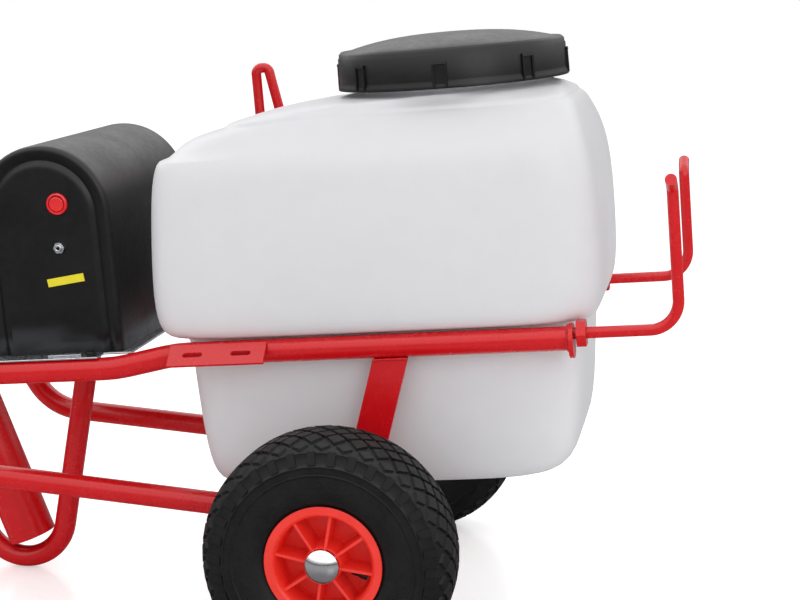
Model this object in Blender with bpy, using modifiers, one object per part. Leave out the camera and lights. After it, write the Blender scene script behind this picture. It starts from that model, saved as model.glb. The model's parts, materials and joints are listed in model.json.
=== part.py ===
"""Wheeled sprayer cart: a translucent tank and a battery pump unit on a two-wheeled red tube frame.

Metres, +Z up. +X is the nose, +Y the left side. Frame pieces are laid out from the axle in the frame's own
level, which is then turned nose-up to the posture in which the cart stands parked on its wheels and stand.
"""

import math

import bmesh
import bpy
from mathutils import Matrix, Vector

# Posture and running gear
NOSE_UP = math.radians(4.74)
WHEEL_R = 0.130
TRACK = 0.512
TYRE_HALF_WIDTH = 0.0425
AXLE_R = 0.010
RIM_FLANGE_R = 0.0605
RIM_HALF_WIDTH = 0.037
RIM_SEAT_R = 0.052
RIM_WALL = 0.005
HUB_R = 0.022
HUB_HALF_LENGTH = 0.037
BUSH_R = 0.0162
CAP_R = 0.0180
CAP_HEIGHT = 0.0125
CAP_SOCKET = 0.006
RIM_LIP = 0.0037
VALVE_R = 0.0035
VALVE_LENGTH = 0.017
VALVE_OUT = 0.022
VALVE_TURN = math.radians(-18)
STRUT_THICKNESS = 0.005
STRUT_WIDTH = 0.036
STRUT_LEAN = 0.325
SPACER_R = 0.0135

# Frame tubes
TUBE_R = 0.0125
RAIL_Y = 0.1575
RAIL_Z = 0.1925
RAIL_FRONT = 0.2453
JOGGLE_FRONT = -0.175
JOGGLE_REAR = -0.245
JOGGLE_DROP = 0.0125
HANDLE_START = -0.620
HANDLE_RISE = 0.335
HANDLE_RUN = 0.300
HANDLE_Y = 0.220
GRIP_END_ROOM = 0.045
GRIP_LENGTH = 0.125
GRIP_R = 0.0170
LOWER_TUBE_INSET = 0.0115
LOWER_TUBE_SLOPE = 0.151
LOWER_TUBE_CORNER = -0.4525
LOWER_TUBE_CLIMB = math.radians(62)
LOWER_TUBE_BEND = 0.070
END_PLATE_R = 0.0183
END_PLATE_THICKNESS = 0.005
END_PLATE_DROP = 0.0025
ROD_R = 0.006
ROD_RISE = 0.0050
COLLAR_R = 0.0150
COLLAR_THICKNESS = 0.0100
HORN_REACH = 0.3580
HORN_BEND = 0.030
HORN_TOP = {"right": 0.341, "left": 0.3205}
HORN_TIP = 0.024
HORN_TIP_RISE = 0.011
FLANGE_FRONT = -0.0715
FLANGE_REAR = -0.1775
FLANGE_WIDTH = 0.028
FLANGE_THICKNESS = 0.003
FLANGE_TILT = math.radians(40)
SLOT_LENGTH = 0.022
SLOT_WIDTH = 0.006
LOOP_X = -0.1530
LOOP_TOP = 0.4755
LOOP_THROAT = 0.0155
LOOP_SPLAY = 0.185

# Stand and lance holder, seen from the floor
STAND_X = -0.4390
STAND_BEND = 0.053
STAND_FRONT_LEAN = math.radians(10.0)
STAND_REAR_LEAN = math.radians(21.3)
HOLDER_R = 0.028
HOLDER_WALL = 0.002
HOLDER_LENGTH = 0.420
HOLDER_ROOM = 0.0009
TAB_WIDTH = 0.006
TAB_HEIGHT = 0.022
TAB_HEIGHTS = {"lower": 0.060, "upper": 0.160}

# Tank
TANK_WALL = 0.004
TANK_SIDE_ROOM = 0.0038
TANK_REAR = -0.203
TANK_FRONT = 0.2802
TANK_BOTTOM = 0.034
TANK_CREASE = 0.393
TANK_DECK = 0.4325
TANK_POINTS = 32
NECK_X = 0.1204
NECK_R = 0.105
NECK_BASE = 0.4500
NECK_HEIGHT = 0.0330
NECK_THREAD = 0.0120
LID_ROOM = 0.0040
LID_SKIRT = 0.0396
LID_CROWN = 0.0125
LID_WALL = 0.0035
GASKET_THICKNESS = 0.0024
BASKET_ROOM = 0.011
BASKET_DEPTH = 0.105
BASKET_WALL = 0.002
OUTLET_X = -0.090
OUTLET_R = 0.008
DRAIN_X = 0.120
DRAIN_R = 0.017
DRAIN_HEIGHT = 0.014

# Pump unit
TRAY_FRONT = -0.2300
TRAY_SHOULDER = -0.2620
TRAY_REAR = -0.4060
TRAY_OVERLAP = 0.0075
TRAY_THICKNESS = 0.002
COVER_X = -0.3172
COVER_R = 0.076
COVER_ARCH_Z = 0.3475
COVER_HALF_LENGTH = 0.140
COVER_EDGE = 0.016
COVER_WALL = 0.003
SWITCH_X = -0.2977
SWITCH_Z = 0.3597
SWITCH_R = 0.0119
SWITCH_BARREL_R = 0.0098
ROCKER_R = 0.0082
ROCKER_TIP = math.radians(8)
JACK_X = -0.3005
JACK_Z = 0.3119
JACK_R = 0.0038
JACK_NUT_R = 0.0064
LABEL_X = -0.2975
LABEL_Z = 0.2762
LABEL_SIZE = (0.0425, 0.0088)
LABEL_THICKNESS = 0.0005
LABEL_TILT = math.radians(7.0)
BATTERY_SIZE = (0.065, 0.151, 0.094)
BATTERY_X = -0.3530
BATTERY_Y = -0.0550
STRAP_THICKNESS = 0.0015
STRAP_WIDTH = 0.020
MOTOR_R = 0.028
MOTOR_LENGTH = 0.085
PUMP_X = -0.2810
PUMP_SIZE = (0.058, 0.060, 0.066)
PUMP_Y = -0.040
PRESSURE_SWITCH_SIZE = (0.026, 0.030, 0.018)
NOZZLE_R = 0.0085
NOZZLE_Y = 0.060
NOZZLE_Z = 0.240
BOLT_R = 0.0065
BOLT_HEAD = 0.0045
BOLT_X = -0.2720
BOLT_INSET = 0.0015
CLIP_SIZE = (0.038, 0.010, 0.003)
CLIP_X = -0.3000

# Fits
FIT = 0.0003
RUN = 0.0006
BEND_STEP = math.radians(22)

# Facets round a turn
WHEEL_STEPS = 24
LID_STEPS = 28

# What the sizes above set between them
AXLE_HALF = TRACK / 2 + HUB_HALF_LENGTH + CAP_SOCKET
RAIL_REAR_Z = RAIL_Z - JOGGLE_DROP
LOWER_TUBE_Y = RAIL_Y - LOWER_TUBE_INSET
TANK_SEAT = RAIL_Z + TUBE_R + 0.001
TANK_HALF_WIDTH = RAIL_Y + TUBE_R
TANK_LOWER_HALF_WIDTH = RAIL_Y - TUBE_R - TANK_SIDE_ROOM
TRAY_HALF_WIDTH = RAIL_Y + TRAY_OVERLAP
BOLT_Y = RAIL_Y - BOLT_INSET
TRAY_TOP = RAIL_REAR_Z + TUBE_R + FIT + TRAY_THICKNESS
COVER_BOTTOM = TRAY_TOP + FIT
HOLDER_SEAT = math.sqrt((STAND_BEND - TUBE_R - HOLDER_ROOM) ** 2 - HOLDER_R**2)
STRUT_Y = LOWER_TUBE_Y + TUBE_R + FIT + STRUT_THICKNESS / 2
ROD_Z = RAIL_Z + ROD_RISE
PLATE_FRONT = RAIL_FRONT + FIT + END_PLATE_THICKNESS
LOOP_Y = TANK_HALF_WIDTH + ROD_R + 0.006
LOOP_FOOT_Y = RAIL_Y + TUBE_R + ROD_R + FIT
NECK_TOP = NECK_BASE + NECK_HEIGHT
BASKET_R = NECK_R - BASKET_ROOM
LID_R = NECK_R + NECK_THREAD + LID_ROOM + LID_WALL
BASKET_RIM_TOP = NECK_TOP + FIT + BASKET_WALL
LID_UNDERSIDE = BASKET_RIM_TOP + FIT + GASKET_THICKNESS + FIT
LID_TOP = LID_UNDERSIDE + LID_WALL
COVER_FACE = COVER_HALF_LENGTH + FIT
GRIP_DIRECTION = Vector((-math.cos(NOSE_UP), 0, math.sin(NOSE_UP)))
SIDES = (("right", -1), ("left", 1))


def clear_scene():
    for obj in list(bpy.data.objects):
        bpy.data.objects.remove(obj, do_unlink=True)


def make_collection(name, hidden=False):
    collection = bpy.data.collections.new(name)
    bpy.context.scene.collection.children.link(collection)
    collection.hide_render = hidden
    return collection


def make_datum(name, parent=None):
    datum = bpy.data.objects.new(name, None)
    PARTS.objects.link(datum)
    datum.parent = parent
    return datum


def finish(name, colour, roughness, metallic=0.0):
    material = bpy.data.materials.new(name)
    material.use_nodes = True
    shader = material.node_tree.nodes["Principled BSDF"]
    shader.inputs["Base Color"].default_value = (*colour, 1.0)
    shader.inputs["Roughness"].default_value = roughness
    shader.inputs["Metallic"].default_value = metallic
    return material


def add_object(name, data, material, parent, location=(0, 0, 0), rotation=(0, 0, 0)):
    obj = bpy.data.objects.new(name, data)
    PARTS.objects.link(obj)
    obj.parent = parent
    obj.location = location
    obj.rotation_euler = rotation
    data.materials.append(finish(name, *material))
    return obj


def smooth(mesh):
    for face in mesh.polygons:
        face.use_smooth = True


def turned(name, profile, material, parent, location=(0, 0, 0), rotation=(0, 0, 0), steps=32, ring=False):
    """A profile of (radius, height) points spun about Z, its outer side running down. A ring's closes."""
    mesh = bpy.data.meshes.new(name)
    count = len(profile)
    edges = [(i, i + 1) for i in range(count - 1)]
    if ring:
        edges.append((count - 1, 0))
    mesh.from_pydata([(r, 0, z) for r, z in profile], edges, [])
    obj = add_object(name, mesh, material, parent, location, rotation)
    screw = obj.modifiers.new("Turn", "SCREW")
    screw.steps = screw.render_steps = steps
    screw.use_merge_vertices = True
    screw.merge_threshold = 0.00001
    screw.use_smooth_shade = True
    return obj


def bent_path(corners, radius):
    """A polyline through corners, each rounded to an arc of this radius or, in a list, of its own."""
    corners = [Vector(corner) for corner in corners]
    radii = radius if isinstance(radius, (list, tuple)) else [radius] * (len(corners) - 2)
    path = [corners[0]]
    for before, corner, after, bend in zip(corners, corners[1:], corners[2:], radii):
        into = (corner - before).normalized()
        out = (after - corner).normalized()
        turn = into.angle(out)
        axis = into.cross(out).normalized()
        reach = bend * math.tan(turn / 2)
        start = corner - into * reach
        centre = start + axis.cross(into) * bend
        steps = max(2, math.ceil(turn / BEND_STEP))
        for k in range(steps + 1):
            path.append(centre + Matrix.Rotation(turn * k / steps, 3, axis) @ (start - centre))
    path.append(corners[-1])
    return path


def tube(name, path, radius, material, parent, resolution=4):
    curve = bpy.data.curves.new(name, "CURVE")
    curve.dimensions = "3D"
    spline = curve.splines.new("POLY")
    spline.points.add(len(path) - 1)
    for point, place in zip(spline.points, path):
        point.co = (*place, 1.0)
    curve.bevel_depth = radius
    curve.bevel_resolution = resolution
    curve.use_fill_caps = True
    return add_object(name, curve, material, parent)


def circle(radius, centre=(0, 0), steps=24):
    angles = [2 * math.pi * k / steps for k in range(steps)]
    return [(centre[0] + radius * math.cos(a), centre[1] + radius * math.sin(a)) for a in angles]


def sheet_part(name, outlines, thickness, material, parent, location=(0, 0, 0), rotation=(0, 0, 0)):
    """A flat outline, with any holes after it, as thick as said and centred on its plane."""
    curve = bpy.data.curves.new(name, "CURVE")
    curve.dimensions = "2D"
    curve.fill_mode = "BOTH"
    curve.extrude = thickness / 2
    for outline in outlines:
        spline = curve.splines.new("POLY")
        spline.points.add(len(outline) - 1)
        for point, (x, y) in zip(spline.points, outline):
            point.co = (x, y, 0, 1)
        spline.use_cyclic_u = True
    return add_object(name, curve, material, parent, location, rotation)


def block(name, size, material, parent, location, edge=0.0, rotation=(0, 0, 0)):
    mesh = bpy.data.meshes.new(name)
    shape = bmesh.new()
    bmesh.ops.create_cube(shape, size=1.0)
    bmesh.ops.scale(shape, vec=size, verts=shape.verts)
    shape.to_mesh(mesh)
    shape.free()
    obj = add_object(name, mesh, material, parent, location, rotation)
    if edge:
        bevel = obj.modifiers.new("Edges", "BEVEL")
        bevel.width = edge
        bevel.segments = 2
    return obj


def cylinder_cutter(name, radius, length, place):
    mesh = bpy.data.meshes.new(name)
    shape = bmesh.new()
    bmesh.ops.create_cone(shape, cap_ends=True, segments=24, radius1=radius, radius2=radius, depth=length)
    shape.to_mesh(mesh)
    shape.free()
    return add_cutter(name, mesh, place)


def slot_cutter(name, length, width, depth, place):
    """A round-ended slot along local X, cut along local Z."""
    half = (length - width) / 2
    arc = [math.pi * (k / 6 - 0.5) for k in range(7)]
    ends = [(half + width / 2 * math.cos(a), width / 2 * math.sin(a)) for a in arc]
    ends += [(-x, -y) for x, y in ends]
    mesh = bpy.data.meshes.new(name)
    shape = bmesh.new()
    face = shape.faces.new([shape.verts.new((x, y, -depth / 2)) for x, y in ends])
    raised = bmesh.ops.extrude_face_region(shape, geom=[face])["geom"]
    moved = [part for part in raised if isinstance(part, bmesh.types.BMVert)]
    bmesh.ops.translate(shape, vec=(0, 0, depth), verts=moved)
    bmesh.ops.recalc_face_normals(shape, faces=shape.faces)
    shape.to_mesh(mesh)
    shape.free()
    return add_cutter(name, mesh, place)


def add_cutter(name, mesh, place):
    cutter = bpy.data.objects.new(name, mesh)
    CUTTERS.objects.link(cutter)
    cutter.hide_render = True
    cutter.display_type = "WIRE"
    cutter.parent = DATUM
    cutter.matrix_local = place
    return cutter


def cut(obj, cutter):
    boolean = obj.modifiers.new(cutter.name, "BOOLEAN")
    boolean.operation = "DIFFERENCE"
    boolean.object = cutter


def along(direction):
    """The rotation that turns local Z to this direction."""
    return Vector(direction).to_track_quat("Z", "Y").to_euler()


def outward(side):
    """The rotation that turns local Z to the cart's right (-1) or left (+1)."""
    return (-side * math.pi / 2, 0, 0)


def in_frame_level(forward, up):
    """A point seen from the floor, ahead of the axle and above the ground, in the frame's level."""
    up -= WHEEL_R
    tilt = math.cos(NOSE_UP), math.sin(NOSE_UP)
    return Vector((forward * tilt[0] + up * tilt[1], up * tilt[0] - forward * tilt[1]))


# Finishes: colour, roughness, metallic
RED_PAINT = ((0.55, 0.012, 0.015), 0.30)
RUBBER = ((0.020, 0.020, 0.022), 0.75)
RED_PLASTIC = ((0.72, 0.035, 0.025), 0.40)
BLACK_PLASTIC = ((0.018, 0.018, 0.020), 0.45)
GREY_PLASTIC = ((0.10, 0.10, 0.11), 0.55)
MILKY_PLASTIC = ((0.78, 0.79, 0.80), 0.42)
CHROME = ((0.80, 0.80, 0.82), 0.12, 1.0)
ZINC = ((0.62, 0.64, 0.68), 0.32, 1.0)
BRASS = ((0.70, 0.52, 0.24), 0.30, 1.0)
YELLOW = ((0.80, 0.62, 0.02), 0.50)


def make_rails():
    for side, s in SIDES:
        top = Vector((HANDLE_START - HANDLE_RUN, s * HANDLE_Y, RAIL_REAR_Z + HANDLE_RISE))
        corners = [
            (RAIL_FRONT, s * RAIL_Y, RAIL_Z),
            (JOGGLE_FRONT, s * RAIL_Y, RAIL_Z),
            (JOGGLE_REAR, s * RAIL_Y, RAIL_REAR_Z),
            (HANDLE_START, s * RAIL_Y, RAIL_REAR_Z),
            top,
            top + GRIP_DIRECTION * (GRIP_LENGTH + GRIP_END_ROOM),
        ]
        tube(f"rail_{side}", bent_path(corners, [0.16, 0.16, 0.09, 0.07]), TUBE_R, RED_PAINT, DATUM)
        make_grip(side, corners[-1])


def make_grip(side, tube_end):
    """A closed rubber sleeve with a collar at its inner end."""
    bore = TUBE_R + FIT
    end = 0.006
    collar = GRIP_R + 0.004
    profile = [
        (0, end),
        (GRIP_R * 0.8, end),
        (GRIP_R, end / 3),
        (GRIP_R, end - GRIP_LENGTH),
        (collar, end / 2 - GRIP_LENGTH),
        (collar, -GRIP_LENGTH),
        (bore, -GRIP_LENGTH),
        (bore, FIT),
        (0, FIT),
    ]
    turned(f"grip_{side}", profile, BLACK_PLASTIC, DATUM, tube_end, along(GRIP_DIRECTION), steps=16)


def make_rail_ends():
    """A welded plate and a hex collar close each rail's front end round the horn's rod."""
    stand_up = (math.pi / 2, 0, math.pi / 2)
    bore = circle(ROD_R + FIT, (0, ROD_RISE), 16)
    hexagon = circle(COLLAR_R, (0, ROD_RISE), 6)
    gap = 0.003
    for side, s in SIDES:
        outline = circle(END_PLATE_R, (0, -END_PLATE_DROP), 16)
        place = (PLATE_FRONT - END_PLATE_THICKNESS / 2, s * RAIL_Y, RAIL_Z)
        plate = [outline, bore]
        sheet_part(f"rail_end_plate_{side}", plate, END_PLATE_THICKNESS, RED_PAINT, DATUM, place, stand_up)
        place = (PLATE_FRONT + gap + COLLAR_THICKNESS / 2, s * RAIL_Y, RAIL_Z)
        collar = [hexagon, bore]
        sheet_part(f"horn_collar_{side}", collar, COLLAR_THICKNESS, RED_PAINT, DATUM, place, stand_up)


def make_horns():
    for side, s in SIDES:
        top = HORN_TOP[side]
        corners = [
            (RAIL_FRONT + FIT, s * RAIL_Y, ROD_Z),
            (HORN_REACH, s * RAIL_Y, ROD_Z),
            (HORN_REACH, s * RAIL_Y, top),
            (HORN_REACH, s * (RAIL_Y + HORN_TIP), top + HORN_TIP_RISE),
        ]
        path = bent_path(corners, [HORN_BEND, 0.010])
        tube(f"hose_horn_{side}", path, ROD_R, RED_PAINT, DATUM, resolution=2)


def make_slotted_flange():
    """A flat welded to the right rail's outer shoulder, sloping down outwards, with two slots for a clamp."""
    length = FLANGE_FRONT - FLANGE_REAR
    middle = (FLANGE_FRONT + FLANGE_REAR) / 2
    reach = TUBE_R + FIT + FLANGE_THICKNESS / 2
    tilt = Matrix.Rotation(FLANGE_TILT, 4, "X")
    place = Matrix.Translation((middle, -RAIL_Y, RAIL_Z)) @ tilt
    centre = place @ Matrix.Translation((0, -FLANGE_WIDTH / 2, reach))
    size = (length, FLANGE_WIDTH, FLANGE_THICKNESS)
    flange = block("slotted_flange_right", size, RED_PAINT, DATUM, (0, 0, 0))
    flange.matrix_local = centre
    for end, shift in (("front", 0.25), ("rear", -0.25)):
        hole = centre @ Matrix.Translation((shift * length, 0, 0))
        cut(flange, slot_cutter(f"slot_{end}", SLOT_LENGTH, SLOT_WIDTH, 4 * FLANGE_THICKNESS, hole))


def make_hose_loop():
    """A narrow hoop of rod that stands on the left rail beside the tank."""
    feet = RAIL_Z - 0.010
    knee = TANK_SEAT + 0.004
    elbow = TANK_SEAT + 0.034

    def front(z):
        return LOOP_X + LOOP_THROAT + LOOP_SPLAY * (LOOP_TOP - z)

    corners = [
        (LOOP_X, LOOP_FOOT_Y, feet),
        (LOOP_X, LOOP_FOOT_Y, knee),
        (LOOP_X, LOOP_Y, elbow),
        (LOOP_X, LOOP_Y, LOOP_TOP),
        (front(LOOP_TOP), LOOP_Y, LOOP_TOP),
        (front(elbow), LOOP_Y, elbow),
        (front(knee), LOOP_FOOT_Y, knee),
        (front(feet), LOOP_FOOT_Y, feet),
    ]
    corner = LOOP_THROAT * 0.46
    bends = [0.03, 0.03, corner, corner, 0.03, 0.03]
    tube("hose_loop_left", bent_path(corners, bends), ROD_R, RED_PAINT, DATUM, resolution=2)


def make_lower_tubes():
    end_z = RAIL_REAR_Z - TUBE_R - FIT - TUBE_R * math.cos(LOWER_TUBE_CLIMB)
    corner_z = -LOWER_TUBE_CORNER * LOWER_TUBE_SLOPE
    end_x = LOWER_TUBE_CORNER - (end_z - corner_z) / math.tan(LOWER_TUBE_CLIMB)
    start_x = -(AXLE_R + RUN + TUBE_R * LOWER_TUBE_SLOPE)
    for side, s in SIDES:
        y = s * LOWER_TUBE_Y
        corners = [
            (start_x, y, -start_x * LOWER_TUBE_SLOPE),
            (LOWER_TUBE_CORNER, y, corner_z),
            (end_x, y, end_z),
        ]
        tube(f"lower_tube_{side}", bent_path(corners, LOWER_TUBE_BEND), TUBE_R, RED_PAINT, DATUM)


def make_struts():
    """Flat bars that carry the axle, hung from the rails, each with a round foot."""
    top_z = RAIL_Z - TUBE_R - FIT
    lean = math.atan(STRUT_LEAN)
    half = STRUT_WIDTH / 2
    rise = half * math.sin(lean)
    turns = [math.pi * (1 + k / 8) - lean for k in range(9)]
    outline = [(half * math.cos(a), half * math.sin(a)) for a in turns]
    outline.append((half * math.cos(lean) + STRUT_LEAN * (top_z + rise), top_z))
    outline.append((-half * math.cos(lean) + STRUT_LEAN * (top_z - rise), top_z))
    hole = circle(AXLE_R + RUN, steps=24)
    for side, s in SIDES:
        place = (0, s * STRUT_Y, 0)
        upright = (math.pi / 2, 0, 0)
        sheet_part(f"axle_strut_{side}", [outline, hole], STRUT_THICKNESS, RED_PAINT, DATUM, place, upright)


def make_stand():
    """The parking stand: one tube bent to a U, whose branches lean apart up to two cross tubes."""
    centre = in_frame_level(STAND_X, STAND_BEND + TUBE_R)
    leans = {"front": STAND_FRONT_LEAN + NOSE_UP, "rear": NOSE_UP - STAND_REAR_LEAN}
    heading = {end: Vector((math.sin(lean), math.cos(lean))) for end, lean in leans.items()}
    start = -leans["front"]
    bottom = -math.pi / 2 - NOSE_UP
    stop = -math.pi - leans["rear"]
    arc = [start + (bottom - start) * k / 5 for k in range(5)]
    arc += [bottom + (stop - bottom) * k / 4 for k in range(5)]
    bend = [centre + Vector((math.cos(a), math.sin(a))) * STAND_BEND for a in arc]
    ends = {}
    for end, foot in (("front", bend[0]), ("rear", bend[-1])):
        reach = (RAIL_REAR_Z - foot.y) / heading[end].y
        ends[end] = foot + heading[end] * (reach - TUBE_R - FIT - TUBE_R * abs(heading[end].x))
        make_cross_tube(f"cross_tube_{end}", foot.x + heading[end].x * reach)
    path = [Vector((p.x, 0, p.y)) for p in [ends["front"], *bend, ends["rear"]]]
    tube("parking_stand", path, TUBE_R, RED_PAINT, DATUM)
    make_lance_holder(centre, heading["rear"])


def make_cross_tube(name, x):
    reach = RAIL_Y - TUBE_R - FIT
    tube(name, [Vector((x, -reach, RAIL_REAR_Z)), Vector((x, reach, RAIL_REAR_Z))], TUBE_R, RED_PAINT, DATUM)


def make_lance_holder(centre, heading):
    """An open tube that stands in the stand's bend, tied to its rear branch by two tabs."""
    inner = HOLDER_R - HOLDER_WALL
    foot = centre - heading * HOLDER_SEAT
    profile = [(HOLDER_R, HOLDER_LENGTH), (HOLDER_R, 0), (inner, 0), (inner, HOLDER_LENGTH)]
    turn = along((heading.x, 0, heading.y))
    turned("lance_holder", profile, RED_PAINT, DATUM, (foot.x, 0, foot.y), turn, steps=16, ring=True)
    rearward = Vector((-heading.y, heading.x))
    space = STAND_BEND - HOLDER_R - TUBE_R - 2 * FIT
    for level, height in TAB_HEIGHTS.items():
        middle = centre + heading * height + rearward * (HOLDER_R + FIT + space / 2)
        turn = (0, math.atan2(heading.x, heading.y), 0)
        size = (space, TAB_WIDTH, TAB_HEIGHT)
        block(f"lance_tab_{level}", size, RED_PAINT, DATUM, (middle.x, 0, middle.y), rotation=turn)


def make_axle():
    chamfer = 0.001
    profile = [(0, AXLE_HALF), (AXLE_R - chamfer, AXLE_HALF), (AXLE_R, AXLE_HALF - chamfer)]
    profile += [(r, -z) for r, z in reversed(profile)]
    turned("axle", profile, ZINC, AXLE, rotation=outward(1), steps=16)
    inner = STRUT_Y + STRUT_THICKNESS / 2 + FIT
    length = TRACK / 2 - HUB_HALF_LENGTH - RUN - inner
    bore = AXLE_R + FIT
    for side, s in SIDES:
        profile = [(SPACER_R, length), (SPACER_R, 0), (bore, 0), (bore, length)]
        turned(f"axle_spacer_{side}", profile, ZINC, AXLE, (0, s * inner, 0), outward(s), steps=16, ring=True)


def make_wheel(side, s):
    """A pneumatic tyre and its inner tube on a one-piece plastic rim, which turns on a bush."""
    hub_axis = make_datum(f"wheel_{side}_axis", AXLE)
    hub_axis.location = (0, s * TRACK / 2, 0)
    hub_axis.rotation_euler = outward(s)
    turned(f"tyre_{side}", tyre_section(), RUBBER, hub_axis, steps=WHEEL_STEPS, ring=True)
    turned(f"inner_tube_{side}", inner_tube_section(), GREY_PLASTIC, hub_axis, steps=WHEEL_STEPS, ring=True)
    turned(f"rim_{side}", rim_section(), RED_PLASTIC, hub_axis, steps=WHEEL_STEPS, ring=True)
    inner = AXLE_R + FIT
    half = HUB_HALF_LENGTH - 0.001
    bush = [(BUSH_R, half), (BUSH_R, -half), (inner, -half), (inner, half)]
    turned(f"wheel_bush_{side}", bush, BLACK_PLASTIC, hub_axis, steps=16, ring=True)
    cap_seat = (0, 0, HUB_HALF_LENGTH + FIT)
    turned(f"axle_cap_{side}", cap_section(), CHROME, hub_axis, cap_seat, steps=16)
    reach = RIM_SEAT_R - RIM_WALL - 0.0016
    valve = [(0, VALVE_LENGTH), (VALVE_R * 0.8, VALVE_LENGTH), (VALVE_R, VALVE_LENGTH - 0.002)]
    valve += [(VALVE_R, 0), (0, 0)]
    out = Vector((math.cos(VALVE_TURN), math.sin(VALVE_TURN), 0))
    seat = out * reach + Vector((0, 0, VALVE_OUT))
    turned(f"valve_{side}", valve, BLACK_PLASTIC, hub_axis, seat, along(-out), steps=12)


def mirrored(profile):
    return [(r, -z) for r, z in reversed(profile)]


def tyre_section():
    """The outside down from bead to bead, then back up the inside."""
    r, w = WHEEL_R, TYRE_HALF_WIDTH
    seat = RIM_SEAT_R + FIT
    bead = RIM_HALF_WIDTH - RIM_LIP - FIT
    outside = [
        (seat, bead),
        (RIM_FLANGE_R, bead),
        (RIM_FLANGE_R + 0.004, bead + 0.0035),
        (r - 0.055, w - 0.002),
        (r - 0.034, w),
        (r - 0.013, w - 0.0035),
        (r - 0.004, w - 0.0115),
        (r, w - 0.0245),
    ]
    inside = [
        (seat, bead - 0.009),
        (RIM_FLANGE_R + 0.004, bead - 0.008),
        (r - 0.055, w - 0.008),
        (r - 0.034, w - 0.006),
        (r - 0.016, w - 0.009),
        (r - 0.009, w - 0.0245),
    ]
    lower_inside = [(radius, -height) for radius, height in inside]
    return outside + mirrored(outside) + lower_inside + inside[::-1]


def inner_tube_section():
    radius = 0.025
    middle = WHEEL_R - 0.012 - radius
    turns = [-2 * math.pi * k / 6 for k in range(6)]
    return [(middle + radius * math.cos(a), radius * math.sin(a)) for a in turns]


def rim_section():
    """A barrel between two flanges, joined to the hub by a web near its middle."""
    hub, seat, flange, half = HUB_HALF_LENGTH, RIM_SEAT_R, RIM_FLANGE_R, RIM_HALF_WIDTH
    barrel = seat - RIM_WALL
    bore = BUSH_R + FIT
    web, web_top = 0.004, 0.010
    outside = [(flange, half), (flange, half - 0.0025), (seat, half - RIM_LIP)]
    hub_side = [(HUB_R + 0.002, web), (HUB_R, -hub), (bore, -hub), (bore, hub), (HUB_R - 0.002, hub)]
    inside = [(barrel, 0.002 - half), (barrel - 0.001, web), *hub_side, (HUB_R, web_top)]
    return outside + mirrored(outside) + inside + [(barrel - 0.001, web_top), (barrel, half - 0.002)]


def cap_section():
    bore = AXLE_R + FIT
    quarter = [math.pi / 2 * k / 4 for k in range(5)]
    dome = [(CAP_R * math.sin(a), CAP_HEIGHT * math.cos(a)) for a in quarter]
    return dome + [(bore, 0), (bore, CAP_SOCKET), (0, CAP_SOCKET)]


def rounded_ring(rear, front, half_width, squareness, height):
    """A closed outline whose corners are as sharp as its squareness, from 2 for an ellipse."""
    middle = (front + rear) / 2
    half = (front - rear) / 2
    ring = []
    for k in range(TANK_POINTS):
        angle = 2 * math.pi * k / TANK_POINTS
        c, s = math.cos(angle), math.sin(angle)
        x = middle + half * math.copysign(abs(c) ** (2 / squareness), c)
        y = half_width * math.copysign(abs(s) ** (2 / squareness), s)
        ring.append((x, y, height(x)))
    return ring


def deck_height(level):
    """The deck falls away a little towards the rear."""
    return lambda x: level - 0.08 * max(0.0, -0.02 - x)


def tank_rings():
    """Outlines from the bottom up: the lower body between the rails, the shelf on them, the roof, the neck."""
    low, wide = TANK_LOWER_HALF_WIDTH, TANK_HALF_WIDTH
    rear, front = TANK_REAR, TANK_FRONT
    shelf = TANK_SEAT
    lower = [
        (rear + 0.060, front - 0.080, low - 0.024, 5, TANK_BOTTOM),
        (rear + 0.045, front - 0.056, low - 0.008, 6, TANK_BOTTOM + 0.005),
        (rear + 0.038, front - 0.041, low - 0.002, 7, TANK_BOTTOM + 0.025),
        (rear + 0.035, front - 0.034, low, 8, TANK_BOTTOM + 0.055),
        (rear + 0.031, front - 0.029, low, 8, TANK_BOTTOM + 0.130),
        (rear + 0.030, front - 0.025, low, 8, shelf - 0.017),
    ]
    upper = [
        (rear + 0.024, front - 0.016, low + 0.001, 8, shelf - 0.002),
        (rear + 0.012, front - 0.010, wide - 0.010, 8, shelf + 0.0015),
        (rear + 0.003, front - 0.004, wide - 0.002, 8, shelf + 0.011),
        (rear, front - 0.001, wide, 8, shelf + 0.035),
        (rear + 0.004, front, wide, 8, shelf + 0.095),
        (rear + 0.009, front - 0.002, wide, 8, TANK_CREASE - 0.040),
        (rear + 0.013, front - 0.007, wide - 0.001, 8, TANK_CREASE - 0.012),
        (rear + 0.016, front - 0.011, wide - 0.005, 8, TANK_CREASE),
    ]
    rings = [rounded_ring(*row[:4], lambda x, z=row[4]: z) for row in lower + upper]
    rings.append(rounded_ring(rear + 0.036, front - 0.019, wide - 0.036, 7, deck_height(TANK_DECK - 0.010)))
    rings.append(rounded_ring(rear + 0.050, front - 0.030, wide - 0.048, 6, deck_height(TANK_DECK + 0.003)))
    rings.append(rounded_ring(rear + 0.085, front - 0.036, wide - 0.056, 4, deck_height(TANK_DECK + 0.0115)))
    return rings + neck_rings()


def neck_rings():
    """A plain collar that widens to carry the lid's thread."""
    steps = [(0.007, -0.0025), (0.0, 0.001), (0.0, 0.007), (NECK_THREAD, 0.016), (NECK_THREAD, NECK_HEIGHT)]
    rings = []
    for wider, up in steps:
        reach = NECK_R + wider
        rings.append(rounded_ring(NECK_X - reach, NECK_X + reach, reach, 2, lambda x, z=NECK_BASE + up: z))
    return rings


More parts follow.
